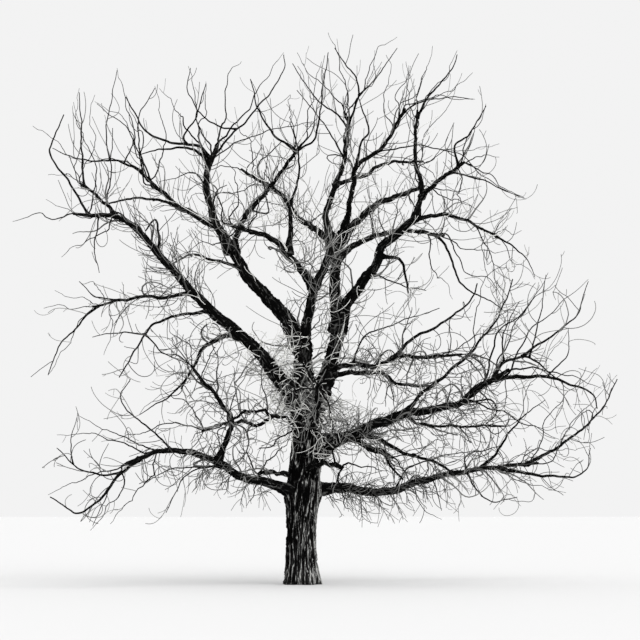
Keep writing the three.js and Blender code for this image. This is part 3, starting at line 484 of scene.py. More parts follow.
def smooth(bends, steps):
    bends = np.array(bends, float)
    ends = np.vstack([2 * bends[0] - bends[1], bends, 2 * bends[-1] - bends[-2]])
    shares = np.linspace(0, 1, DENSE_STEPS, endpoint=False)
    dense = [stretch(*ends[i : i + 4], shares) for i in range(len(bends) - 1)]
    dense = np.vstack([*dense, bends[-1:]])
    walked = walked_lengths(dense)
    even = np.linspace(0, walked[-1], steps + 1)
    return np.stack([np.interp(even, walked, dense[:, k]) for k in range(3)], axis=1)


def length_of(points):
    return float(np.linalg.norm(np.diff(points, axis=0), axis=1).sum())


def at_share(points, share):
    position = np.clip(share, 0, 1) * (len(points) - 1)
    low = np.minimum(np.floor(position).astype(int), len(points) - 2)
    part = (position - low)[..., None]
    return points[low] * (1 - part) + points[low + 1] * part


print("a quarter turn measures", round(length_of(smooth([(1, 0, 0), (0.7071, 0.7071, 0), (0, 1, 0)], 60)), 3))

# %% [markdown]
# ## Where every limb runs
# The trunk's axis, the boughs and the smaller branches are worked out here as rows of points with a
# radius. A limb tapers evenly and widens into a collar where it leaves its carrier's side, as real wood
# does. Each starts on the axis of its carrier, so its root is sunk well in. Real limbs are also a little
# crooked, since they turned at each old side shoot, so a few small waves are added.

# %% Routes of the wood
COLLAR = 0.85
COLLAR_REACH = 0.9
ROOT_DROP = 0.15
LAST_FORK = 0.985
ROUTE_STEPS = 120
CROOK_SHARE = 0.015
CROOK_WAVES = [0.9, 0.45, 0.22]
CROOK_FADE = 0.4

trunk_axis = smooth([(across, 0, height) for height, across in TRUNK_LINE], ROUTE_STEPS)
trunk_radius = np.interp(trunk_axis[:, 2], *np.array(TRUNK_WIDTH, float).T) / 2
wood = {"trunk": {"points": trunk_axis, "radius": trunk_radius}}


def crooked(points, share, seed):
    walked = walked_lengths(points)[:, None]
    phases = np.random.default_rng(seed)
    offset = np.zeros_like(points)
    for wave in CROOK_WAVES:
        offset += np.sin(2 * math.pi * walked / wave + phases.random(3) * 2 * math.pi) * wave * share
    fade = np.clip(np.minimum(walked, walked[-1] - walked) / CROOK_FADE, 0, 1)
    return points + offset * fade


def add_route(name, carrier, share, root, tip, bends):
    fork = np.array(min(share, LAST_FORK))
    start = at_share(wood[carrier]["points"], fork)
    if carrier == "trunk":
        start = start - (0, 0, ROOT_DROP * root * MILLIMETRE)
    sunk = at_share(wood[carrier]["radius"][:, None], fork)[0]
    points = smooth([start, *[place(*bend) for bend in bends]], ROUTE_STEPS)
    points = crooked(points, CROOK_SHARE, len(wood))
    shares = np.linspace(0, 1, ROUTE_STEPS + 1)
    out = np.maximum(shares * length_of(points) - sunk, 0)
    collar = 1 + COLLAR * np.exp(-out / (COLLAR_REACH * root * MILLIMETRE))
    radius = (root + (tip - root) * shares) / 2 * MILLIMETRE * collar
    wood[name] = {"points": points, "radius": radius}


for name, row in {**BOUGHS, **BRANCHES}.items():
    add_route(name, *row)
metres = sum(length_of(route["points"]) for route in wood.values())
print("limbs and branches:", len(wood), "with", round(metres), "m")

# %% [markdown]
# ## Geometry Nodes helpers
# Everything that follows a path here is made by Geometry Nodes. The script draws only the path, with a
# radius at each point, and a node tree turns it into a closed tube. Each tree names its sizes as inputs.
# The function adder gives a tree its own way to add a node, whose inputs are told as values or as the
# nodes that feed them. Through read and keep a tree takes up or stores an attribute, and paint ends it.
# The result is kept as a plain mesh, because live modifiers are slow to render and export.

# %% Adding nodes
def adder(tree):
    def add(kind, inputs=(), **settings):
        node = tree.nodes.new(kind)
        for label, value in settings.items():
            setattr(node, label, value)
        named = inputs if isinstance(inputs, dict) else dict(enumerate(inputs))
        for label, value in named.items():
            if isinstance(value, bpy.types.Node):
                value = value.outputs[0]
            if isinstance(value, bpy.types.NodeSocket):
                tree.links.new(value, node.inputs[label])
            else:
                node.inputs[label].default_value = value
        return node

    return add


def read(add, label, kind="FLOAT"):
    return add("GeometryNodeInputNamedAttribute", {"Name": label}, data_type=kind)


def keep(add, geometry, label, value, kind="FLOAT"):
    inputs = {"Geometry": geometry, "Name": label, "Value": value}
    return add("GeometryNodeStoreNamedAttribute", inputs, data_type=kind, domain="POINT")


def paint(add, geometry, material):
    realized = add("GeometryNodeRealizeInstances", [geometry])
    return add("GeometryNodeSetMaterial", {"Geometry": realized, "Material": material})


print("node helpers ready")

# %% Trees and plain meshes
def new_tree(name, inputs, build):
    tree = bpy.data.node_groups.new(name, "GeometryNodeTree")
    tree.interface.new_socket(name="Geometry", in_out="INPUT", socket_type="NodeSocketGeometry")
    for label, (kind, value) in inputs.items():
        socket = tree.interface.new_socket(name=label, in_out="INPUT", socket_type="NodeSocket" + kind)
        if value is not None:
            socket.default_value = value
    tree.interface.new_socket(name="Geometry", in_out="OUTPUT", socket_type="NodeSocketGeometry")
    add = adder(tree)
    made = build(add, add("NodeGroupInput").outputs)
    add("NodeGroupOutput", {"Geometry": made})
    print(name, "has", len(tree.nodes), "nodes")
    return tree


def plain_mesh(name, source, tree, values):
    modifier = source.modifiers.new("shape", "NODES")
    modifier.node_group = tree
    for item in tree.interface.items_tree:
        if item.in_out == "INPUT" and item.name in values:
            modifier[item.identifier] = values[item.name]
    depsgraph = bpy.context.evaluated_depsgraph_get()
    mesh = bpy.data.meshes.new_from_object(source.evaluated_get(depsgraph), depsgraph=depsgraph)
    source.modifiers.remove(modifier)
    bpy.data.objects.remove(source)
    mesh.name = name
    return add_object(name, mesh)


def triangles_of(piece):
    return sum(len(face.vertices) - 2 for face in piece.data.polygons)


print("tree helpers ready")

# %% [markdown]
# ## Bark relief
# The bark is split by deep upright furrows into long plates that run into each other like a net. A cell
# texture makes such a net when its cells are stretched along the limb, and the distance to a cell's edge
# gives the height, low in a furrow and high on a plate. Thin ridge lines, where a wandering noise
# crosses its middle value, and fine grain lie on top. The pattern is read from bark_place, which says
# where a point would lie if its limb were straight and upright, so that furrows follow every bend. The
# height moves the real surface and is kept as furrow, from which the finish paints the furrows dark and
# the plates light, partly the bark's own colour and partly painted shade.

# %% The relief node group
FURROW_STRETCH = 0.11
FURROW_WANDER = 0.4
WANDER_PACE = (0.4, 0.4, 1.6)
FURROW_EDGE = 0.4
PLATE_SHARE = 0.28
RIDGE_SHARE = 0.85
RIDGE_SCALE = 0.75
RIDGE_WIDTH = 0.045
GRAIN_PACE = (1, 1, 8)
GRAIN_SCALE = 3
GRAIN_SHARE = 0.9
MIDDLE = 0.5


def build_relief(add, given):
    long = add("ShaderNodeVectorMath", [given["Place"], (1, 1, FURROW_STRETCH)], operation="MULTIPLY")
    scaled = add("ShaderNodeVectorMath", {0: long, "Scale": given["Plates per Metre"]}, operation="SCALE")
    slow = add("ShaderNodeVectorMath", [scaled, WANDER_PACE], operation="MULTIPLY")
    wander = add("ShaderNodeTexNoise", {"Vector": slow, "Scale": 1, "Detail": 2}).outputs["Color"]
    span = (FURROW_WANDER * 2, FURROW_WANDER * 2, 0)
    back = (-FURROW_WANDER, -FURROW_WANDER, 0)
    centred = add("ShaderNodeVectorMath", [wander, span, back], operation="MULTIPLY_ADD")
    bent = add("ShaderNodeVectorMath", [scaled, centred], operation="ADD")
    cells = add("ShaderNodeTexVoronoi", {"Vector": bent, "Scale": 1}, feature="DISTANCE_TO_EDGE")
    edge = {"Value": cells, "From Max": FURROW_EDGE}
    plate = add("ShaderNodeMapRange", edge, interpolation_type="SMOOTHSTEP")
    lines = add("ShaderNodeTexNoise", {"Vector": bent, "Scale": RIDGE_SCALE, "Detail": 2})
    middle = add("ShaderNodeMath", [lines, MIDDLE], operation="SUBTRACT")
    off_line = add("ShaderNodeMath", [middle], operation="ABSOLUTE")
    line = {"Value": off_line, "From Max": RIDGE_WIDTH, "To Min": RIDGE_SHARE, "To Max": 0}
    ridge = add("ShaderNodeMapRange", line, interpolation_type="SMOOTHSTEP")
    both = add("ShaderNodeMath", [plate, PLATE_SHARE, ridge], operation="MULTIPLY_ADD")
    fine = add("ShaderNodeVectorMath", [scaled, GRAIN_PACE], operation="MULTIPLY")
    grain = add("ShaderNodeTexNoise", {"Vector": fine, "Scale": GRAIN_SCALE, "Detail": 4})
    rough = add("ShaderNodeMath", [grain, GRAIN_SHARE, -GRAIN_SHARE / 2], operation="MULTIPLY_ADD")
    mixed = add("ShaderNodeMath", [rough, both], operation="ADD")
    lowered = add("ShaderNodeMath", [mixed, MIDDLE], operation="SUBTRACT")
    height = add("ShaderNodeMath", [lowered, given["Depth"]], operation="MULTIPLY")
    normal = add("GeometryNodeInputNormal")
    out = add("ShaderNodeVectorMath", {0: normal, "Scale": height}, operation="SCALE")
    kept = keep(add, given["Geometry"], "furrow", mixed)
    return add("GeometryNodeSetPosition", {"Geometry": kept, "Offset": out})


relief_inputs = {"Place": ("Vector", None), "Depth": ("Float", 0.02), "Plates per Metre": ("Float", 20.0)}
relief = new_tree("bark_relief", relief_inputs, build_relief)

# %% [markdown]
# ## Bark finish
# Old bark is dull, with dark furrows and grey plates. The colour comes from the furrow attribute that the
# relief left on the mesh, broken up by fine grain along the limb and by slow, broad patches of lighter and
# darker bark. The furrows come out nearly black and the plates light, partly the bark's own colour and
# partly painted shade. The trunk is paler at its foot and darker towards the fork, and its left side is
# painted dark, as painted shade on the side turned from the sun. The smaller limbs have smoother, darker
# bark.

# %% Bark materials
BARK_DULL = {"Roughness": 0.92, "Specular IOR Level": 0}
BARK_WARMTH = 0.97
BARK_STRETCH = (1, 1, 0.25)
BARK_GRAIN = {"Scale": 90, "Detail": 5}
BARK_BUMP = {"Distance": 0.004, "Strength": 0.6}
GRAIN_IN_TONE = 0.5
BARK_PATCHES = {"Scale": 3, "Detail": 2}
# the trunk's colour is paler towards the foot and darker towards the fork
FOOT_TO_FORK_HEIGHTS = {"From Min": 0.3, "From Max": 4}
# painted shade on the trunk's left side, darkened as the side turned from the sun
PAINTED_SHADE_SIDE = {"From Min": -0.3, "From Max": -0.19, "To Min": -0.4, "To Max": 0}
TONE_PLACES = [0.15, 0.55, 1]


def bark_material(name, tones, patch_share, foot):
    material, shader = new_material(name, BARK_DULL)
    add = adder(material.node_tree)
    spot = add("ShaderNodeAttribute", attribute_name="bark_place").outputs["Vector"]
    furrow = add("ShaderNodeAttribute", attribute_name="furrow").outputs["Fac"]
    stretched = add("ShaderNodeMapping", {"Vector": spot, "Scale": BARK_STRETCH})
    grain = add("ShaderNodeTexNoise", {"Vector": stretched, **BARK_GRAIN})
    patches = add("ShaderNodeTexNoise", {"Vector": spot, **BARK_PATCHES})
    # painted shade: the furrow height makes the furrows nearly black and the plates light, partly bark colour
    # and partly painted shade
    grain_and_furrow_shade = add("ShaderNodeMath", [grain, GRAIN_IN_TONE, furrow], operation="MULTIPLY_ADD")
    patched = add("ShaderNodeMath", [patches, patch_share, grain_and_furrow_shade], operation="MULTIPLY_ADD")
    middle = GRAIN_IN_TONE / 2 + patch_share / 2
    lowered = add("ShaderNodeMath", [patched, middle], operation="SUBTRACT")
    parts = add("ShaderNodeSeparateXYZ", [spot]).outputs
    # paler towards the foot and darker towards the fork
    by_height = {"Value": parts["Z"], **FOOT_TO_FORK_HEIGHTS, "To Min": foot, "To Max": -foot}
    height_tone = add("ShaderNodeMapRange", by_height)
    # painted shade: the trunk's left side is darkened, as the side turned from the sun
    shade_side_paint = add("ShaderNodeMapRange", {"Value": parts["X"], **PAINTED_SHADE_SIDE})
    sided = add("ShaderNodeMath", [height_tone, shade_side_paint], operation="ADD")
    summed = add("ShaderNodeMath", [lowered, sided], operation="ADD")
    ramp = add("ShaderNodeValToRGB", [summed])
    stops = ramp.color_ramp.elements
    stops.new(TONE_PLACES[1])
    for stop, tone_place, tone in zip(stops, TONE_PLACES, tones):
        stop.position = tone_place
        stop.color = grey(tone, BARK_WARMTH)
    bump = add("ShaderNodeBump", {"Height": grain, **BARK_BUMP})
    material.node_tree.links.new(ramp.outputs["Color"], shader.inputs["Base Color"])
    material.node_tree.links.new(bump.outputs["Normal"], shader.inputs["Normal"])
    return material


trunk_bark = bark_material("trunk_bark", (0.002, 0.038, 0.4), 0.4, 0.12)
limb_bark = bark_material("limb_bark", (0.003, 0.01, 0.08), 0.5, 0)
print("bark materials:", trunk_bark.name, limb_bark.name)

# %% [markdown]
# ## Meshes from arrays
# Where a shape follows a formula, its points are worked out as whole arrays and handed to a mesh in one
# go, which is far quicker than one point at a time. An attribute is a value that every point carries,
# such as its thickness, and that nodes and finishes can read. The trunk and all paths are made this way.

# %% Tables and meshes
def smooth_table(rows, at):
    rows = np.array(rows, float)
    slopes = np.gradient(rows[:, 1], rows[:, 0])
    low = np.clip(np.searchsorted(rows[:, 0], at, side="right") - 1, 0, len(rows) - 2)
    span = rows[low + 1, 0] - rows[low, 0]
    t = (at - rows[low, 0]) / span
    lead = (2 * t**3 - 3 * t**2 + 1) * rows[low, 1] + (t**3 - 2 * t**2 + t) * span * slopes[low]
    return lead + (3 * t**2 - 2 * t**3) * rows[low + 1, 1] + (t**3 - t**2) * span * slopes[low + 1]


def mesh_object(name, vertices, faces=(), edges=(), attributes=None):
    mesh = bpy.data.meshes.new(name)
    mesh.vertices.add(len(vertices))
    mesh.vertices.foreach_set("co", np.asarray(vertices, np.float32).ravel())
    if len(faces):
        faces = np.asarray(faces, np.int32)
        mesh.loops.add(faces.size)
        mesh.loops.foreach_set("vertex_index", faces.ravel())
        mesh.polygons.add(len(faces))
        mesh.polygons.foreach_set("loop_start", np.arange(0, faces.size, faces.shape[1], dtype=np.int32))
    if len(edges):
        mesh.edges.add(len(edges))
        mesh.edges.foreach_set("vertices", np.asarray(edges, np.int32).ravel())
    for label, values in (attributes or {}).items():
        values = np.asarray(values, np.float32)
        kind, field = ("FLOAT_VECTOR", "vector") if values.ndim > 1 else ("FLOAT", "value")
        mesh.attributes.new(label, kind, "POINT").data.foreach_set(field, values.ravel())
    mesh.update(calc_edges=True)
    return add_object(name, mesh)


def ring_faces(rings, around):
    ring, step = np.meshgrid(np.arange(rings - 1), np.arange(around), indexing="ij")
    here, after = ring * around + step, ring * around + (step + 1) % around
    return np.stack([here, after, after + around, here + around], axis=-1).reshape(-1, 4)


print("two rings of four points make", len(ring_faces(2, 4)), "faces")

# %% [markdown]
# ## The trunk
# The trunk is a stack of level rings, fine enough for the furrows to be real dents. Near the ground the
# rings are drawn out into five low buttresses, where the roots set off. Under each low limb the trunk
# swells, as wood does that carries a load, and above the fork the rings close in a rounded top that is
# hidden between the stems.

# %% Trunk rings
TRUNK_AROUND = 288
TRUNK_RINGS = 230
BUTTRESSES = 5
BUTTRESS_DEPTH = 0.13
BUTTRESS_HEIGHT = 0.26
BUTTRESS_TURN = 0.6
BUTTRESS_HOLLOW = 0.5
TRUNK_TOP = TRUNK_LINE[-1][0]
TOP_ROUNDING = 0.16
TOP_LEAST = 1e-4
SWELLING_LIMBS = ["lowest_left_limb", "lowest_right_limb", "right_low_limb"]
SWELL_STEP = 12
SWELL_BELOW = 0.27
SWELL_ABOVE = 0.1
SWELL_OUT = 1.12
EVEN_RADIUS = 0.34
FOOT_FADE = 0.05
TOP_FADE = 0.2


def ring_points(radius, middle, level):
    points = np.stack([middle + radius * np.cos(angles), radius * np.sin(angles), level], axis=-1)
    return points.reshape(-1, 3)


heights = np.linspace(0, TRUNK_TOP, TRUNK_RINGS)
angles = np.linspace(0, 2 * math.pi, TRUNK_AROUND, endpoint=False)
girth = smooth_table(TRUNK_WIDTH, heights) / 2
closing = np.clip((heights - TRUNK_TOP + TOP_ROUNDING) / TOP_ROUNDING, 0, 1)
girth = girth * np.sqrt(np.maximum(1 - closing**2, TOP_LEAST))
flare = BUTTRESS_DEPTH * np.exp(-heights / BUTTRESS_HEIGHT)
lobes = np.cos(BUTTRESSES * angles - BUTTRESS_TURN) - BUTTRESS_HOLLOW
out = girth[:, None] * (1 + flare[:, None] * lobes)
for name in SWELLING_LIMBS:
    root = wood[name]["points"]
    width = BOUGHS[name][2] / 2 * MILLIMETRE
    towards = root[SWELL_STEP] - root[0]
    off_angle = np.angle(np.exp(1j * (angles - math.atan2(towards[1], towards[0]))))
    off_height = heights - root[SWELL_STEP][2]
    spread = np.where(off_height < 0, SWELL_BELOW, SWELL_ABOVE)
    across_swell = np.exp(-((off_angle * EVEN_RADIUS / width) ** 2) / 2)
    out = out + SWELL_OUT * width * np.exp(-((off_height / spread) ** 2) / 2)[:, None] * across_swell
level = np.broadcast_to(heights[:, None], out.shape)
body = ring_points(out, smooth_table(TRUNK_LINE, heights)[:, None], level)
straight = ring_points(np.full_like(out, EVEN_RADIUS), 0, level)
fade = np.clip(heights / FOOT_FADE, 0, 1) * np.clip((TRUNK_TOP - heights) / TOP_FADE, 0, 1)
fade = np.broadcast_to(fade[:, None], out.shape).ravel()
trunk_attributes = {"bark_place": straight, "relief": fade}
trunk_faces = ring_faces(TRUNK_RINGS, TRUNK_AROUND)
trunk_source = mesh_object("trunk_rings", body, trunk_faces, attributes=trunk_attributes)
print("trunk rings:", TRUNK_RINGS, "of", TRUNK_AROUND, "points")

# %% [markdown]
# ## Bark on the trunk
# The bark could be a bump in the finish alone, but the furrows of an old trunk are deep enough to break
# its outline, so the rings are moved for real. The dents fade out at the foot and at the hidden top,
# where one flat face closes each end.

# %% Trunk relief
TRUNK_RELIEF = 0.038
TRUNK_PLATES = 16.0


def build_trunk(add, given):
    depth = add("ShaderNodeMath", [read(add, "relief"), given["Relief Depth"]], operation="MULTIPLY")
    bark = {
        "Geometry": given["Geometry"],
        "Place": read(add, "bark_place", "FLOAT_VECTOR"),
        "Depth": depth,
        "Plates per Metre": given["Plates per Metre"],
    }
    return paint(add, add("GeometryNodeGroup", bark, node_tree=relief), given["Bark"])


def close_ends(piece, around):
    shell = bmesh.new()
    shell.from_mesh(piece.data)
    shell.verts.ensure_lookup_table()
    bottom, top = shell.verts[:around], shell.verts[-around:]
    shell.faces.new(bottom[::-1])
    shell.faces.new(top)
    shell.to_mesh(piece.data)
    shell.free()


trunk_inputs = {
    "Relief Depth": ("Float", TRUNK_RELIEF),
    "Plates per Metre": ("Float", TRUNK_PLATES),
    "Bark": ("Material", None),
}
trunk_tree = new_tree("trunk_relief", trunk_inputs, build_trunk)
trunk = plain_mesh("trunk_wood", trunk_source, trunk_tree, {"Bark": trunk_bark})
close_ends(trunk, TRUNK_AROUND)
trunk.data.shade_smooth()
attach(trunk, "root")
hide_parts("trunk")
print("trunk triangles:", triangles_of(trunk))

# %% [markdown]
# ## Boughs and branches
# A path becomes a tube when a ring is swept along it. The Curve to Mesh node does this, and scales the
# ring by the radius that each point carries. The same tree then lays the bark on: how far along and how
# far round a point lies gives its bark_place, and the relief grows with the thickness of the limb. Each
# limb's number shifts its pattern, so that no two limbs have the same bark.

# %% The tube tree
def build_tubes(add, given):
    radius = read(add, "thick")
    paths = add("GeometryNodeMeshToCurve", {"Mesh": given["Geometry"]})
    along = add("GeometryNodeSplineParameter").outputs["Length"]
    shifted = add("ShaderNodeMath", [along, read(add, "number")], operation="ADD")
    ring = add("GeometryNodeCurvePrimitiveCircle", {"Resolution": given["Sides"]})
    around = add("GeometryNodeSplineParameter").outputs["Factor"]
    sweep = {
        "Curve": keep(add, paths, "along", shifted),
        "Profile Curve": keep(add, ring, "around", around),
        "Scale": radius,
        "Fill Caps": True,
    }
    tubes = add("GeometryNodeCurveToMesh", sweep)
    turn = add("ShaderNodeMath", [read(add, "around"), 2 * math.pi], operation="MULTIPLY")
    cosine = add("ShaderNodeMath", [turn], operation="COSINE")
    sine = add("ShaderNodeMath", [turn], operation="SINE")
    level = add("ShaderNodeCombineXYZ", {"X": cosine, "Y": sine})
    sized = add("ShaderNodeVectorMath", {0: level, "Scale": read(add, "girth")}, operation="SCALE")
    upright = add("ShaderNodeCombineXYZ", {"Z": read(add, "along")})
    straight = add("ShaderNodeVectorMath", [sized, upright], operation="ADD")
    bark = {
        "Geometry": keep(add, tubes, "bark_place", straight, "FLOAT_VECTOR"),
        "Place": straight,
        "Depth": add("ShaderNodeMath", [radius, given["Relief Share"]], operation="MULTIPLY"),
        "Plates per Metre": given["Plates per Metre"],
    }
    return paint(add, add("GeometryNodeGroup", bark, node_tree=relief), given["Bark"])


tube_inputs = {
    "Sides": ("Int", 24),
    "Relief Share": ("Float", 0.16),
    "Plates per Metre": ("Float", 26.0),
    "Bark": ("Material", None),
}
tube_tree = new_tree("bark_tubes", tube_inputs, build_tubes)

# %% [markdown]
# ## From routes to pieces
# A route becomes a row of edges with a thickness at each point, which the tube tree reads. A few more
# points that close in round its far end. Limbs of one size make one piece: the stout ones get close
# rings and many sides, so that their bark is real relief, and the slim ones get fewer.

# %% Paths as edges
ROUNDING_STEPS = 4
FEWEST_STEPS = 6
POINT_SHARE = 0.03
NUMBER_SHIFT = 7.3


def path_points(name, step):
    route = wood[name]
    count = max(FEWEST_STEPS, round(length_of(route["points"]) / step))
    shares = np.linspace(0, 1, count + 1)
    points = at_share(route["points"], shares)
    radius = np.interp(shares, np.linspace(0, 1, len(route["radius"])), route["radius"])
    way = unit(points[-1] - points[-2])
    turns = np.linspace(0, math.pi / 2, ROUNDING_STEPS + 1)[1:]
    cap = points[-1] + way * (np.sin(turns) * radius[-1])[:, None]
    rounded = np.maximum(np.cos(turns), POINT_SHARE) * radius[-1]
    return np.vstack([points, cap]), np.concatenate([radius, rounded])


def edge_mesh(name, paths):
    radii = [radius for _, radius in paths]
    sizes = [len(radius) for radius in radii]
    starts = np.cumsum([0, *sizes])
    first = np.concatenate([np.arange(a, b - 1) for a, b in zip(starts[:-1], starts[1:])])
    attributes = {
        "thick": np.concatenate(radii),
        "girth": np.repeat([np.median(radius) for radius in radii], sizes),
        "number": np.repeat(NUMBER_SHIFT * np.arange(len(paths)), sizes),
    }
    points = np.vstack([points for points, _ in paths])
    return mesh_object(name, points, edges=np.stack([first, first + 1], axis=1), attributes=attributes)


def tube_piece(name, paths, sides, nodes, values):
    source = edge_mesh(name + "_paths", paths)
    piece = plain_mesh(name, source, tube_tree, {"Sides": sides, "Bark": limb_bark, **values})
    piece.data.shade_smooth()
    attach(piece, "root")
    if nodes:
        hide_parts(*nodes)
    print(name, "has", len(paths), "limbs and", triangles_of(piece), "triangles")


STOUT_ROOT = 170
LIMB_PIECES = {
    "stout_limbs": (0.026, 44, {"Plates per Metre": 24.0}),
    "slim_boughs": (0.03, 24, {"Plates per Metre": 32.0}),
    "branches": (0.035, 12, {"Plates per Metre": 45.0, "Relief Share": 0.12}),
}
stout_names = [name for name, row in BOUGHS.items() if row[2] >= STOUT_ROOT]
slim_names = [name for name, row in BOUGHS.items() if row[2] < STOUT_ROOT]
for (name, (step, sides, values)), names in zip(LIMB_PIECES.items(), (stout_names, slim_names, BRANCHES)):
    nodes = [limb for limb in names if limb in BOUGHS]
    tube_piece(name, [path_points(limb, step) for limb in names], sides, nodes, values)

# %% [markdown]
# ## Stems and leaders
# Every mass of twigs begins with a stem that carries on from its bough or leaves the trunk. This is the
# rule the solids were made by, with the same random shares: a leader starts near the stem's top, arches up
# or droops, and sways a little on its way to its end. On a bough the leaders leave one behind the other
# over its last stretch, so that they don't all spring from one point.

# %% The seeded rule
STEM_LENGTH = 3
STEM_TAPER = 0.8
STEM_POINTS = 40
SHORT_STEM_POINTS = 12
STEM_CROOK = 0.03
LEADER_ROOT = 0.5
LEADER_ONWARD = 0.16
LEADER_BENDS = [0.4, 0.7]
LEADER_ARCH = 0.3
SWAY = 0.14
LEADER_POINTS = 30
LEADER_CROOK = 0.03
LEADER_ROOTS_BACK = 0.3
LEADER_AIM = 0.97
LEADER_SUNK = 0.5
FIRST_SEED = 7919
DRAW_TIMES = 1664525
DRAW_PLUS = 1013904223
DRAW_RANGE = 2**32


def draws(seed):
    state = seed
    while True:
        state = (state * DRAW_TIMES + DRAW_PLUS) % DRAW_RANGE
        yield state / DRAW_RANGE


def mass_stem(index, carrier, share, diameter, bends):
    line = wood[carrier]["points"]
    if carrier == "trunk":
        stem = smooth([at_share(line, np.array(share)), *[place(*bend) for bend in bends]], STEM_POINTS)
        return crooked(stem, STEM_CROOK, index)
    onward = unit(line[-1] - line[-3]) * STEM_LENGTH * diameter * MILLIMETRE
    return smooth([at_share(line, np.array(LAST_FORK)), line[-1] + onward], SHORT_STEM_POINTS)


def leader_route(top, onward, tip, radius, arch, dice):
    way = tip - top
    length = np.linalg.norm(way)
    middle = []
    for bend in LEADER_BENDS:
        swing = np.array([next(dice) - 0.5 for _ in range(3)])
        point = top + way * bend + swing * SWAY * length
        point[2] += arch * length * LEADER_ARCH * math.sin(math.pi * bend) * (1 - bend)
        middle.append(point)
    start = top - onward * LEADER_SUNK * radius
    return smooth([start, top + onward * LEADER_ONWARD * length, *middle, tip], LEADER_POINTS)


leaders = []
stems = []
trunk_stems = []
for index, (carrier, share, diameter, bends, arch, ends) in enumerate(MASSES.values()):
    dice = draws(FIRST_SEED * (index + 1))
    radius = diameter / 2 * MILLIMETRE
    stem = mass_stem(index, carrier, share, diameter, bends)
    stems.append((stem, np.linspace(radius, STEM_TAPER * radius, len(stem))))
    top, onward = stem[-1], unit(stem[-1] - stem[-2])
    if carrier == "trunk":
        trunk_stems.append(stems[-1])
    for number, end in enumerate(ends):
        if carrier != "trunk":
            line = wood[carrier]["points"]
            back = LEADER_ROOTS_BACK * number / len(ends)
            top = at_share(line, np.array(1 - back))
            onward = unit(top - at_share(line, np.array(LEADER_AIM - back)))
        route = leader_route(top, onward, np.array(place(*end)), radius, arch, dice)
        leaders.append((crooked(route, LEADER_CROOK, len(leaders)), LEADER_ROOT * radius))
print("stems:", len(stems), "leaders:", len(leaders))

# %% [markdown]
# ## How twigs grow
# Side shoots leave in the spiral of the buds, 137.5 degrees from one to the next. Each then feels its way
# in short steps: it keeps its heading, swings round in slow arcs, is pulled up or hangs down, takes small
# kinks at its buds and keeps off the trunk. The same rule is used for shoots on the wood, twigs on the
# shoots and short spurs on the twigs. Thin wood at the crown's edge and high up bears fewer shoots
# than the old wood inside, which vigour_at tells by depth and height. All shoots of one order are
# grown together as arrays, which is far quicker than one at a time.

# %% Vigour
CROWN_CENTRE = np.array([0.3, 0, 6.9])
CROWN_HALF = np.array([6.8, 5.6, 6.0])
VIGOUR_BY_DEPTH = ([0.3, 0.6, 0.8, 1.0], [1.4, 1.15, 0.65, 0.25])
LEAST_VIGOUR = ([4.5, 5.5], [0.5, 0])
VIGOUR_BY_HEIGHT = ([2.5, 5, 7.5, 10], [1.35, 1.02, 0.73, 0.43])


def depth_in_crown(points):
    return np.linalg.norm((points - CROWN_CENTRE) / CROWN_HALF, axis=-1)


def vigour_at(points):
    heights = points[..., 2]
    by_depth = np.interp(depth_in_crown(points), *VIGOUR_BY_DEPTH)
    by_depth = np.maximum(by_depth, np.interp(heights, *LEAST_VIGOUR))
    return by_depth * np.interp(heights, *VIGOUR_BY_HEIGHT)


print("vigour in the middle of the crown:", round(float(vigour_at(CROWN_CENTRE)), 2))

# %% Feeling the way
OUTWARD_PULL = 0.35
PULL_STEPS = 8
CURL_KEPT = 0.97
CURL_NEW = 0.24
TRUNK_ROOM = 0.75
TRUNK_PUSH = 4.0
WORLD_UP = np.array([0.0, 0.0, 1.0])
LEVEL = np.array([1, 1, 0])
OFF_AXIS = np.array([1e-6, 0, 0])
TRUNK_MIDDLE = np.array([0.14, 0.0, 0.0])
SEED = 41

chance = np.random.default_rng(SEED)


def feel_way(start, heading, length, habit):
    steps = habit["steps"]
    pace = (length / steps)[:, None]
    rise = np.interp(start[:, 2], habit["heights"], habit["rise"])
    rise = rise + habit["rise_spread"] * (chance.random(len(start)) - 0.5)
    curl = np.interp(start[:, 2], habit["heights"], habit["curl"])[:, None]
    outward = unit(start * LEVEL + OFF_AXIS)
    swing = chance.normal(size=heading.shape)
    path = [start]
    for step in range(steps):
        pull = (rise + habit["lift_on"] * step / steps) * PULL_STEPS / steps
        swing = CURL_KEPT * swing + CURL_NEW * chance.normal(size=heading.shape)
        bend = np.cross(swing, heading) * curl * pace + habit["kink"] * chance.normal(size=heading.shape)
        aside = (path[-1] - TRUNK_MIDDLE) * LEVEL
        near = np.clip(1 - np.linalg.norm(aside, axis=1) / TRUNK_ROOM, 0, 1)[:, None]
        push = unit(aside) * near * TRUNK_PUSH / steps
        heading = unit(heading + WORLD_UP * pull[:, None] + outward * OUTWARD_PULL / steps + bend + push)
        path.append(path[-1] + heading * pace)
    return np.stack(path, axis=1)


print("one seed for all twigs:", SEED)

# %% [markdown]
# ## One order of shoots
# The function grow covers a whole group of parents with shoots. It works out how many each parent bears,
# where they leave and how long they get, and lets them feel their way. Then it keeps those that stay
# inside the crown, clear of the open sky and well above the ground.

# %% Growing one order
SPIRAL = math.radians(137.5)
LOWEST_TWIG = 1.2
SURFACE_SHARE = 0.85
ROOT_SHARE = 0.75
ROOT_REACH = 1.2
UP_LEAN = 0.01


def sample_rows(rows, owner, share):
    position = np.clip(share, 0, 1) * (rows.shape[1] - 1)
    low = np.minimum(position.astype(int), rows.shape[1] - 2)
    part = (position - low).reshape(-1, *[1] * (rows.ndim - 2))
    return rows[owner, low] * (1 - part) + rows[owner, low + 1] * part


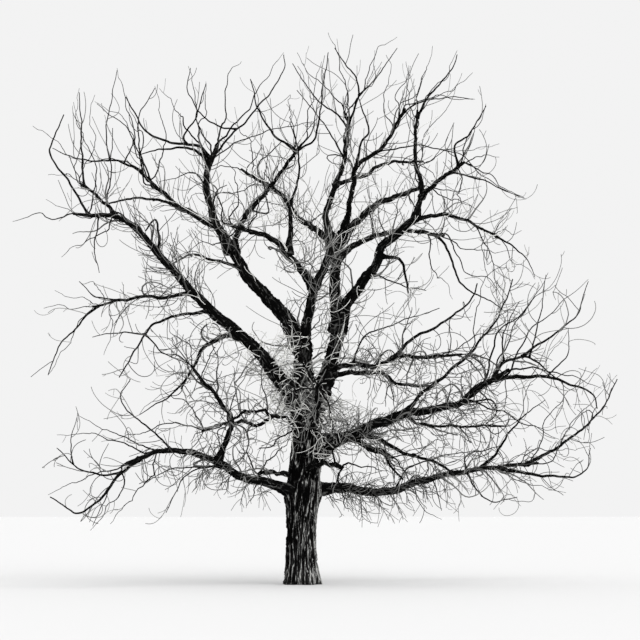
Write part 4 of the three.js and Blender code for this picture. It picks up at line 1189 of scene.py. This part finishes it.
def grow(parents, gap, span, reach, habit):
    points = parents["points"]
    lengths = np.linalg.norm(np.diff(points, axis=1), axis=2).sum(axis=1)
    first, last = span
    wanted = lengths * (last - first) / gap * parents["vigour"]
    counts = np.floor(wanted + chance.random(len(points))).astype(int)
    owner = np.repeat(np.arange(len(points)), counts)
    order = np.arange(len(owner)) - np.repeat(np.cumsum(counts) - counts, counts)
    share = first + (last - first) * (order + chance.random(len(owner))) / counts[owner]
    along = unit(sample_rows(np.diff(points, axis=1), owner, share))
    side = unit(np.stack([-along[:, 1], along[:, 0], np.full(len(along), UP_LEAN)], axis=1))
    turn = SPIRAL * order + (parents["phase"] * 2 * math.pi)[owner]
    side = side * np.cos(turn)[:, None] + np.cross(along, side) * np.sin(turn)[:, None]
    thickness = sample_rows(parents["radius"], owner, share)
    start = sample_rows(points, owner, share) + side * (SURFACE_SHARE * thickness)[:, None]
    shortest, longest = reach
    length = shortest + (longest - shortest) * chance.random(len(owner)) ** habit["long_few"]
    length = length * (ROOT_REACH - habit["tip_loss"] * share)
    length = np.minimum(length, habit["of_parent"] * lengths[owner])
    path = feel_way(start, unit(along * habit["onward"] + side), length, habit)
    root = np.minimum(habit["thick"][0], ROOT_SHARE * thickness)
    tip = np.minimum(habit["thick"][1], root)
    width = root[:, None] + (tip - root)[:, None] * np.linspace(0, 1, habit["steps"] + 1)
    kept = inside(path) & open_sky(path) & (path[:, :, 2].min(axis=1) > LOWEST_TWIG)
    return {
        "points": path[kept],
        "radius": width[kept],
        "tone": parents["tone"][owner[kept]],
        "vigour": vigour_at(path[kept][:, 0]),
        "phase": chance.random(kept.sum()),
    }


print("buds turn by", round(math.degrees(SPIRAL), 1), "degrees")

# %% [markdown]
# ## The crown's edge and its windows
# No twig may end much beyond the hull of the leaders, which is told by how far they reach along 160
# directions spread evenly over a ball, and none may leave the box of the solids. Few may cross the
# windows of open sky that the photograph shows between the limbs. Each window is an oval on the viewer's
# sheet: its middle across and up, its half width and half height, and the share of twigs that it stops.

# %% Edge and windows
EDGE_ROOM = 0.02
EDGE_SIDES = 160
EDGE_SLACK = 0.1
SKY_WINDOWS = [
    (-1.15, 6.35, 0.8, 0.62, 0.93), (1.3, 7.25, 0.3, 0.4, 0.9), (3.35, 7.3, 0.45, 0.35, 0.6),
    (-4.85, 7.2, 0.5, 0.65, 0.5), (-3.2, 4.2, 0.5, 0.45, 0.6), (0.03, 1.4, 0.45, 1.7, 0.85),
    (3.57, 6.4, 0.75, 0.5, 0.85), (2.9, 5.6, 0.6, 0.35, 0.5), (0.8, 4.7, 0.25, 0.35, 0.7),
    (1.45, 4.35, 0.45, 0.3, 0.6), (1.1, 2.85, 0.35, 0.3, 0.6), (2.6, 8.6, 0.6, 0.55, 0.3),
    (2.7, 10.9, 0.5, 0.45, 0.35), (-1.85, 4.65, 0.5, 0.45, 0.35), (-1.85, 3.75, 0.5, 0.4, 0.25),
    (-0.95, 7.6, 0.4, 0.5, 0.35), (2.65, 3.9, 0.5, 0.35, 0.3), (1.9, 2.9, 0.9, 0.35, 0.3),
]

rises = 1 - (2 * np.arange(EDGE_SIDES) + 1) / EDGE_SIDES
turns = SPIRAL * np.arange(EDGE_SIDES)
level_parts = np.sqrt(1 - rises**2)
edge_sides = np.stack([level_parts * np.cos(turns), level_parts * np.sin(turns), rises])
edge_reach = (np.vstack([points for points, _ in leaders]) @ edge_sides).max(axis=0) + EDGE_SLACK


def inside(path):
    low = np.array(box_low) + EDGE_ROOM
    high = np.array(box_high) - EDGE_ROOM
    in_box = ((path > low) & (path < high)).all(axis=(1, 2))
    return in_box & (path[:, -1] @ edge_sides <= edge_reach).all(axis=1)


def open_sky(path):
    flat = seen(path)
    clear = np.ones(len(path), bool)
    for across, up, wide, tall, share in SKY_WINDOWS:
        off = (flat - (across, up)) / (wide, tall)
        crosses = ((off**2).sum(axis=2) < 1).any(axis=1)
        clear &= ~(crosses & (chance.random(len(path)) < share))
    return clear


print("windows of open sky:", len(SKY_WINDOWS))

# %% [markdown]
# ## Growing the crown
# The habit of a shoot depends on where it stands: high in the crown shoots rise steeply to the light,
# while on the low limbs they arch over and hang before their tips turn up. Some places have a habit of
# their own. The fork is wrapped in a pale tangle, brooms of thin shoots hang under the lowest limbs, two
# tufts stand on old knots, thickets cover a few limbs, and short twigs lie close along the boughs as a
# sheath. The gaps and lengths, in metres, make the crown open or thick. All draws come from one seed, in
# one order, so the same tree grows each time.

# %% Habits
def at_all_heights(value):
    return [value] * 4


RISING = {
    "heights": [2, 4.5, 7, 10], "rise": [-0.12, -0.06, 0.08, 0.16], "curl": [1.8, 1.6, 1.3, 0.9],
    "kink": 0.035, "tip_loss": 0.4,
}
SHOOT = {
    **RISING, "thick": (0.0105, 0.0075), "steps": 14, "onward": 0.6, "long_few": 1.3, "of_parent": 0.7,
    "rise_spread": 0.24, "lift_on": 0.16,
}
LEADER_SHOOT = {**SHOOT, "tip_loss": 0.75}
TANGLE = {
    **SHOOT, "thick": (0.0095, 0.007), "curl": at_all_heights(2.6), "onward": 0.8,
    "rise": at_all_heights(0), "rise_spread": 0.3, "lift_on": 0,
}
BROOM = {
    **SHOOT, "thick": (0.013, 0.008), "curl": at_all_heights(0.9), "rise": [-0.14, -0.14, 0, 0],
    "rise_spread": 0.3, "lift_on": -0.1,
}
SPRIG = {**BROOM, "thick": (0.0085, 0.0065), "steps": 8}
TUFT = {
    **SPRIG, "curl": at_all_heights(1.4), "rise": at_all_heights(0.18), "onward": 0.2, "lift_on": 0,
}
SIDE = {
    **SHOOT, "thick": (0.026, 0.008), "steps": 18, "kink": 0.16, "onward": 0.9, "rise_spread": 0.5,
    "lift_on": 0.2,
}
SHEATH = {
    **SHOOT, "thick": (0.0075, 0.006), "steps": 12, "curl": [2.6, 2.6, 2.2, 1.8], "onward": 1.3,
    "rise": [0, 0, 0.05, 0.1], "lift_on": 0,
}
TWIG = {
    **RISING, "thick": (0.0085, 0.0065), "steps": 10, "tip_loss": 0.65, "onward": 1.5, "long_few": 1.2,
    "of_parent": 0.85, "rise_spread": 0.24, "lift_on": 0.14,
}
SPUR = {
    **RISING, "thick": (0.007, 0.005), "steps": 4, "onward": 1.2, "long_few": 1.0, "of_parent": 0.8,
    "rise_spread": 0.3, "lift_on": 0.1,
}
print("a shoot is", round(2 * SHOOT["thick"][0] / MILLIMETRE), "mm thick at its root")

# %% [markdown]
# ## Parents and sprays
# The rule has to know what the shoots grow on. Every limb, stem and leader is turned into a parent: its
# points, its radius, its tone, its vigour and the turn at which its buds begin. A spray takes one of
# four tones by chance, with shares that change from the middle of the crown to its edge.

# %% Tones and parents
RING_STEPS = 24
LEADER_TIP = 0.0045
INNER_DEPTHS = ([0.35, 0.7], [1, 0])
INNER_TONES = np.array([0.08, 0.27, 0.4, 0.25])
OUTER_TONES = np.array([0.3, 0.42, 0.28, 0])
EVENED_LEAST = 0.4


def as_parents(paths):
    even = np.linspace(0, 1, RING_STEPS + 1)
    points = np.stack([at_share(route, even) for route, _ in paths])
    return {
        "points": points,
        "radius": np.stack([np.interp(even, np.linspace(0, 1, len(r)), r) for _, r in paths]),
        "tone": np.zeros(len(paths), int),
        "vigour": vigour_at(points.mean(axis=1)),
        "phase": chance.random(len(paths)),
    }


def limbs(names):
    return as_parents([(wood[name]["points"], wood[name]["radius"]) for name in names])


def joined(*groups):
    return {key: np.concatenate([group[key] for group in groups]) for key in groups[0]}


def own_sprays(group, inner_tones=INNER_TONES):
    inner = np.interp(depth_in_crown(group["points"][:, 0]), *INNER_DEPTHS)[:, None]
    shares = np.cumsum(inner * inner_tones + (1 - inner) * OUTER_TONES, axis=1)
    group["tone"] = (chance.random(len(shares))[:, None] > shares[:, :-1]).sum(axis=1)
    return group


def evened(group, most):
    return {**group, "vigour": np.clip(group["vigour"], EVENED_LEAST, most)}


def grow_on(rows, habit):
    return joined(*[grow(limbs(names), gap, span, reach, habit) for names, gap, span, reach in rows])


leader_paths = [(route, np.linspace(root, LEADER_TIP, LEADER_POINTS + 1)) for route, root in leaders]
leader_group = own_sprays(as_parents(leader_paths))
bough_group = limbs(BOUGHS)
branch_group = limbs(BRANCHES)
trunk_group = limbs(["trunk"])
stem_group = as_parents(trunk_stems)
print("leaders that bear shoots:", len(leader_paths))

# %% [markdown]
# ## What grows where
# A row names its limbs, the gap between two shoots, the stretch of the limb that bears them, and their
# shortest and longest length. Thickets, brooms and tufts lie where the photograph shows them. Side
# branches come first and bear shoots of their own. Then the shoots of all limbs bear twigs, and both
# bear short spurs.

# %% Thickets, brooms, tufts and tangles
THICKET_LIMBS = [
    "right_low_limb", "lowest_right_limb", "right_low_shelf_bough", "right_low_front_bough",
    "back_shelf", "lowest_span", "lowest_up", "low_diagonal", "shelf_sweep", "left_rising_bough",
    "left_comb_in", "lowest_horn", "lowest_out", "lowest_under", "under_low", "low_out", "low_over",
    "low_horn",
]
HIGH_THICKETS = ["back_left_bough", "front_left_bough", "knot_riser", "bridge", "high_low"]
THICKETS = [
    (THICKET_LIMBS, 0.24, (0.4, 1), (0.4, 1.3)),
    (HIGH_THICKETS, 0.15, (0.15, 0.8), (0.4, 1.2)),
    (["left_stem", "left_limb", "bridge"], 0.18, (0.4, 0.85), (0.4, 1.1)),
    (["lowest_right_limb"], 0.16, (0.1, 0.4), (0.3, 0.9)),
    (["left_limb"], 0.15, (0.5, 0.8), (0.3, 0.8)),
    (["right_low_shelf_bough", "back_shelf"], 0.14, (0.2, 0.8), (0.3, 1)),
    (["lowest_right_limb"], 0.2, (0.7, 1), (0.3, 1)),
    (["lowest_horn", "lowest_out", "lowest_up"], 0.12, (0.3, 1), (0.3, 1)),
    (["right_low_front_bough", "low_twist", "low_out"], 0.16, (0.5, 1), (0.3, 0.9)),
    (["left_high_limb"], 0.14, (0.1, 0.9), (0.3, 0.9)),
    (["fan_riser", "high_tip", "left_fan_bough", "leader_span"], 0.2, (0.1, 1), (0.3, 0.9)),
]
BROOMS = [
    (["lowest_right_limb"], 0.11, (0.05, 0.65), (0.3, 0.85)),
    (["lowest_left_limb"], 0.12, (0.22, 0.65), (0.3, 0.85)),
    (["right_low_limb", "under_low"], 0.3, (0.08, 0.9), (0.25, 0.7)),
]
TUFTS = [
    (["lowest_right_limb"], 0.004, (0.17, 0.23), (0.3, 0.95)),
    (["right_low_limb"], 0.009, (0.29, 0.34), (0.3, 0.95)),
]
TANGLES = [
    (["back_left_bough"], 0.045, (0.25, 0.65), (0.3, 0.9)),
    (["left_limb", "left_stem", "right_stem", "right_low_limb"], 0.06, (0.05, 0.3), (0.6, 1.4)),
]
print("rows of dense growth:", len([*THICKETS, *BROOMS, *TUFTS, *TANGLES]))

# %% Shoots, twigs and spurs
SPURS = {"gap": 1.1, "span": (0.3, 0.97), "reach": (0.07, 0.28), "habit": SPUR}
SIDE_TONES = np.array([0.6, 0.3, 0.1, 0])
SHEATH_TONES = np.array([0, 0.2, 0.5, 0.3])
TANGLE_TONES = np.array([0, 0, 0.1, 0.9])

side_branches = own_sprays(joined(
    grow(bough_group, gap=1.0, span=(0.12, 0.95), reach=(0.9, 2.4), habit=SIDE),
    grow(stem_group, gap=0.6, span=(0.4, 1), reach=(0.7, 1.8), habit=SIDE),
    grow(limbs(THICKET_LIMBS), gap=0.7, span=(0.3, 0.95), reach=(0.8, 2), habit=SIDE),
), SIDE_TONES)
side_shoots = grow(evened(side_branches, 2), gap=0.5, span=(0.15, 1), reach=(0.35, 1.2), habit=SHOOT)
own_sprays(side_shoots)
thicket = own_sprays(grow_on(THICKETS, SHOOT))
stem_shoots = own_sprays(grow(stem_group, gap=0.3, span=(0.35, 1), reach=(0.4, 1.4), habit=SHOOT))
bough_shoots = own_sprays(grow(bough_group, gap=0.112, span=(0.1, 0.98), reach=(0.4, 1.5), habit=SHOOT))
branch_shoots = own_sprays(grow(branch_group, gap=0.21, span=(0.1, 1), reach=(0.4, 1.5), habit=SHOOT))
leader_shoots = grow(leader_group, gap=0.5, span=(0.08, 0.95), reach=(0.45, 1.4), habit=LEADER_SHOOT)
own_sprays(leader_shoots)
brooms = own_sprays(grow_on(BROOMS, BROOM))
sprigs = grow(evened(brooms, 1), gap=0.06, span=(0.15, 1), reach=(0.15, 0.5), habit=SPRIG)
sprigs = joined(sprigs, *[own_sprays(grow_on([row], TUFT)) for row in TUFTS])
tangle = joined(
    grow(trunk_group, gap=0.0056, span=(0.78, 1), reach=(0.6, 1.5), habit=TANGLE),
    grow_on(TANGLES, TANGLE),
)
sheath = grow(bough_group, gap=0.18, span=(0.08, 0.9), reach=(0.3, 0.8), habit=SHEATH)
own_sprays(sheath, SHEATH_TONES)
own_sprays(tangle, TANGLE_TONES)
shoots = joined(
    bough_shoots, branch_shoots, leader_shoots, side_shoots, thicket, stem_shoots, brooms, tangle,
)
twigs = grow(shoots, gap=0.86, span=(0.12, 0.75), reach=(0.3, 0.95), habit=TWIG)
spurs = joined(grow(shoots, **SPURS), grow(twigs, **SPURS))
twig_groups = {
    "side branches": side_branches, "shoots": shoots, "sheath": sheath,
    "sprigs": sprigs, "twigs": twigs, "spurs": spurs,
}
for label, group in twig_groups.items():
    metres = np.linalg.norm(np.diff(group["points"], axis=1), axis=2).sum()
    print(label, len(group["points"]), "in number and", round(metres), "m long")

# %% [markdown]
# ## Twigs as fine tubes
# A twig is a few millimetres thick, so three sides are enough for it. Colours are dealt out by spray: all
# twigs of one shoot share one of four plain greys, from weathered dark to the pale bark of the last
# summer, and each grey is a piece of its own. Pale sprays stand inside the crown and dark ones at its
# edge, as the photograph shows. A pattern would be finer than the twigs themselves.

# %% Twig finishes
TWIG_TONES = {"dark": 0.05, "mid": 0.13, "light": 0.25, "pale": 0.82}
TWIG_GRAIN = 60
TWIG_DULL = {"To Min": 0.6, "To Max": 0.95}


def twig_material(name, tone):
    values = {"Base Color": grey(tone, BARK_WARMTH), "Specular IOR Level": 0.25}
    material, shader = new_material(name, values)
    add = adder(material.node_tree)
    spot = add("ShaderNodeTexCoord").outputs["Object"]
    grain = add("ShaderNodeTexNoise", {"Vector": spot, "Scale": TWIG_GRAIN})
    dull = add("ShaderNodeMapRange", {"Value": grain, **TWIG_DULL})
    material.node_tree.links.new(dull.outputs["Result"], shader.inputs["Roughness"])
    return material


twig_finishes = {tone: twig_material("twig_" + tone, value) for tone, value in TWIG_TONES.items()}
print("twig finishes:", list(twig_finishes))

# %% [markdown]
# ## The last pieces
# The stems and leaders go through the tube tree, as the boughs did, with a finer bark. The twigs take a
# smaller tree without relief, and are dealt out by tone and by side of the trunk, so that each piece
# stays light enough to be exported whole. All of them together replace the masses.

# %% The twig tree
def build_twigs(add, given):
    sweep = {
        "Curve": add("GeometryNodeMeshToCurve", {"Mesh": given["Geometry"]}),
        "Profile Curve": add("GeometryNodeCurvePrimitiveCircle", {"Resolution": given["Sides"]}),
        "Scale": read(add, "thick"),
        "Fill Caps": True,
    }
    return paint(add, add("GeometryNodeCurveToMesh", sweep), given["Bark"])


twig_tree = new_tree("twig_tubes", {"Sides": ("Int", 3), "Bark": ("Material", None)}, build_twigs)

# %% Stems and leaders as wood
mass_nodes = list(MASSES)
tube_piece("stems", stems, 12, mass_nodes, {"Plates per Metre": 45.0})
tube_piece("leaders", leader_paths, 6, mass_nodes, {"Plates per Metre": 60.0})

# %% Twigs dealt out by spray
def edges_of(groups):
    points, radii, edges, total = [], [], [], 0
    for group in groups:
        count, steps = group["points"].shape[:2]
        points.append(group["points"].reshape(-1, 3))
        radii.append(group["radius"].ravel())
        first = (np.arange(count)[:, None] * steps + np.arange(steps - 1)).ravel() + total
        edges.append(np.stack([first, first + 1], axis=1))
        total += count * steps
    return np.vstack(points), np.concatenate(radii), np.vstack(edges)


def pick(group, mask):
    return {key: values[mask] for key, values in group.items()}


for tone_index, tone in enumerate(TWIG_TONES):
    for side, sign in {"left": -1, "right": 1}.items():
        chosen = []
        for group in twig_groups.values():
            mask = (group["tone"] == tone_index) & (np.sign(group["points"][:, 0, 0]) * sign >= 0)
            chosen.append(pick(group, mask))
        points, radii, edges = edges_of(chosen)
        source = mesh_object("twig_paths", points, edges=edges, attributes={"thick": radii})
        piece = plain_mesh(f"twigs_{tone}_{side}", source, twig_tree, {"Bark": twig_finishes[tone]})
        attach(piece, "root")
        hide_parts(*mass_nodes)
        print(piece.name, "has", triangles_of(piece), "triangles")

# %% [markdown]
# ## Sizes
# The dressed tree should keep to the box of the solids, apart from a twig's reach at its tips. Both
# boxes are printed, so that they can be compared.

# %% Print the sizes
new_low, new_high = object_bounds()
sizes = {"cad": [list(box_low), list(box_high)], "visual": [list(new_low), list(new_high)]}
for label, (low, high) in sizes.items():
    print(label, [round(v, 3) for v in low], [round(v, 3) for v in high])
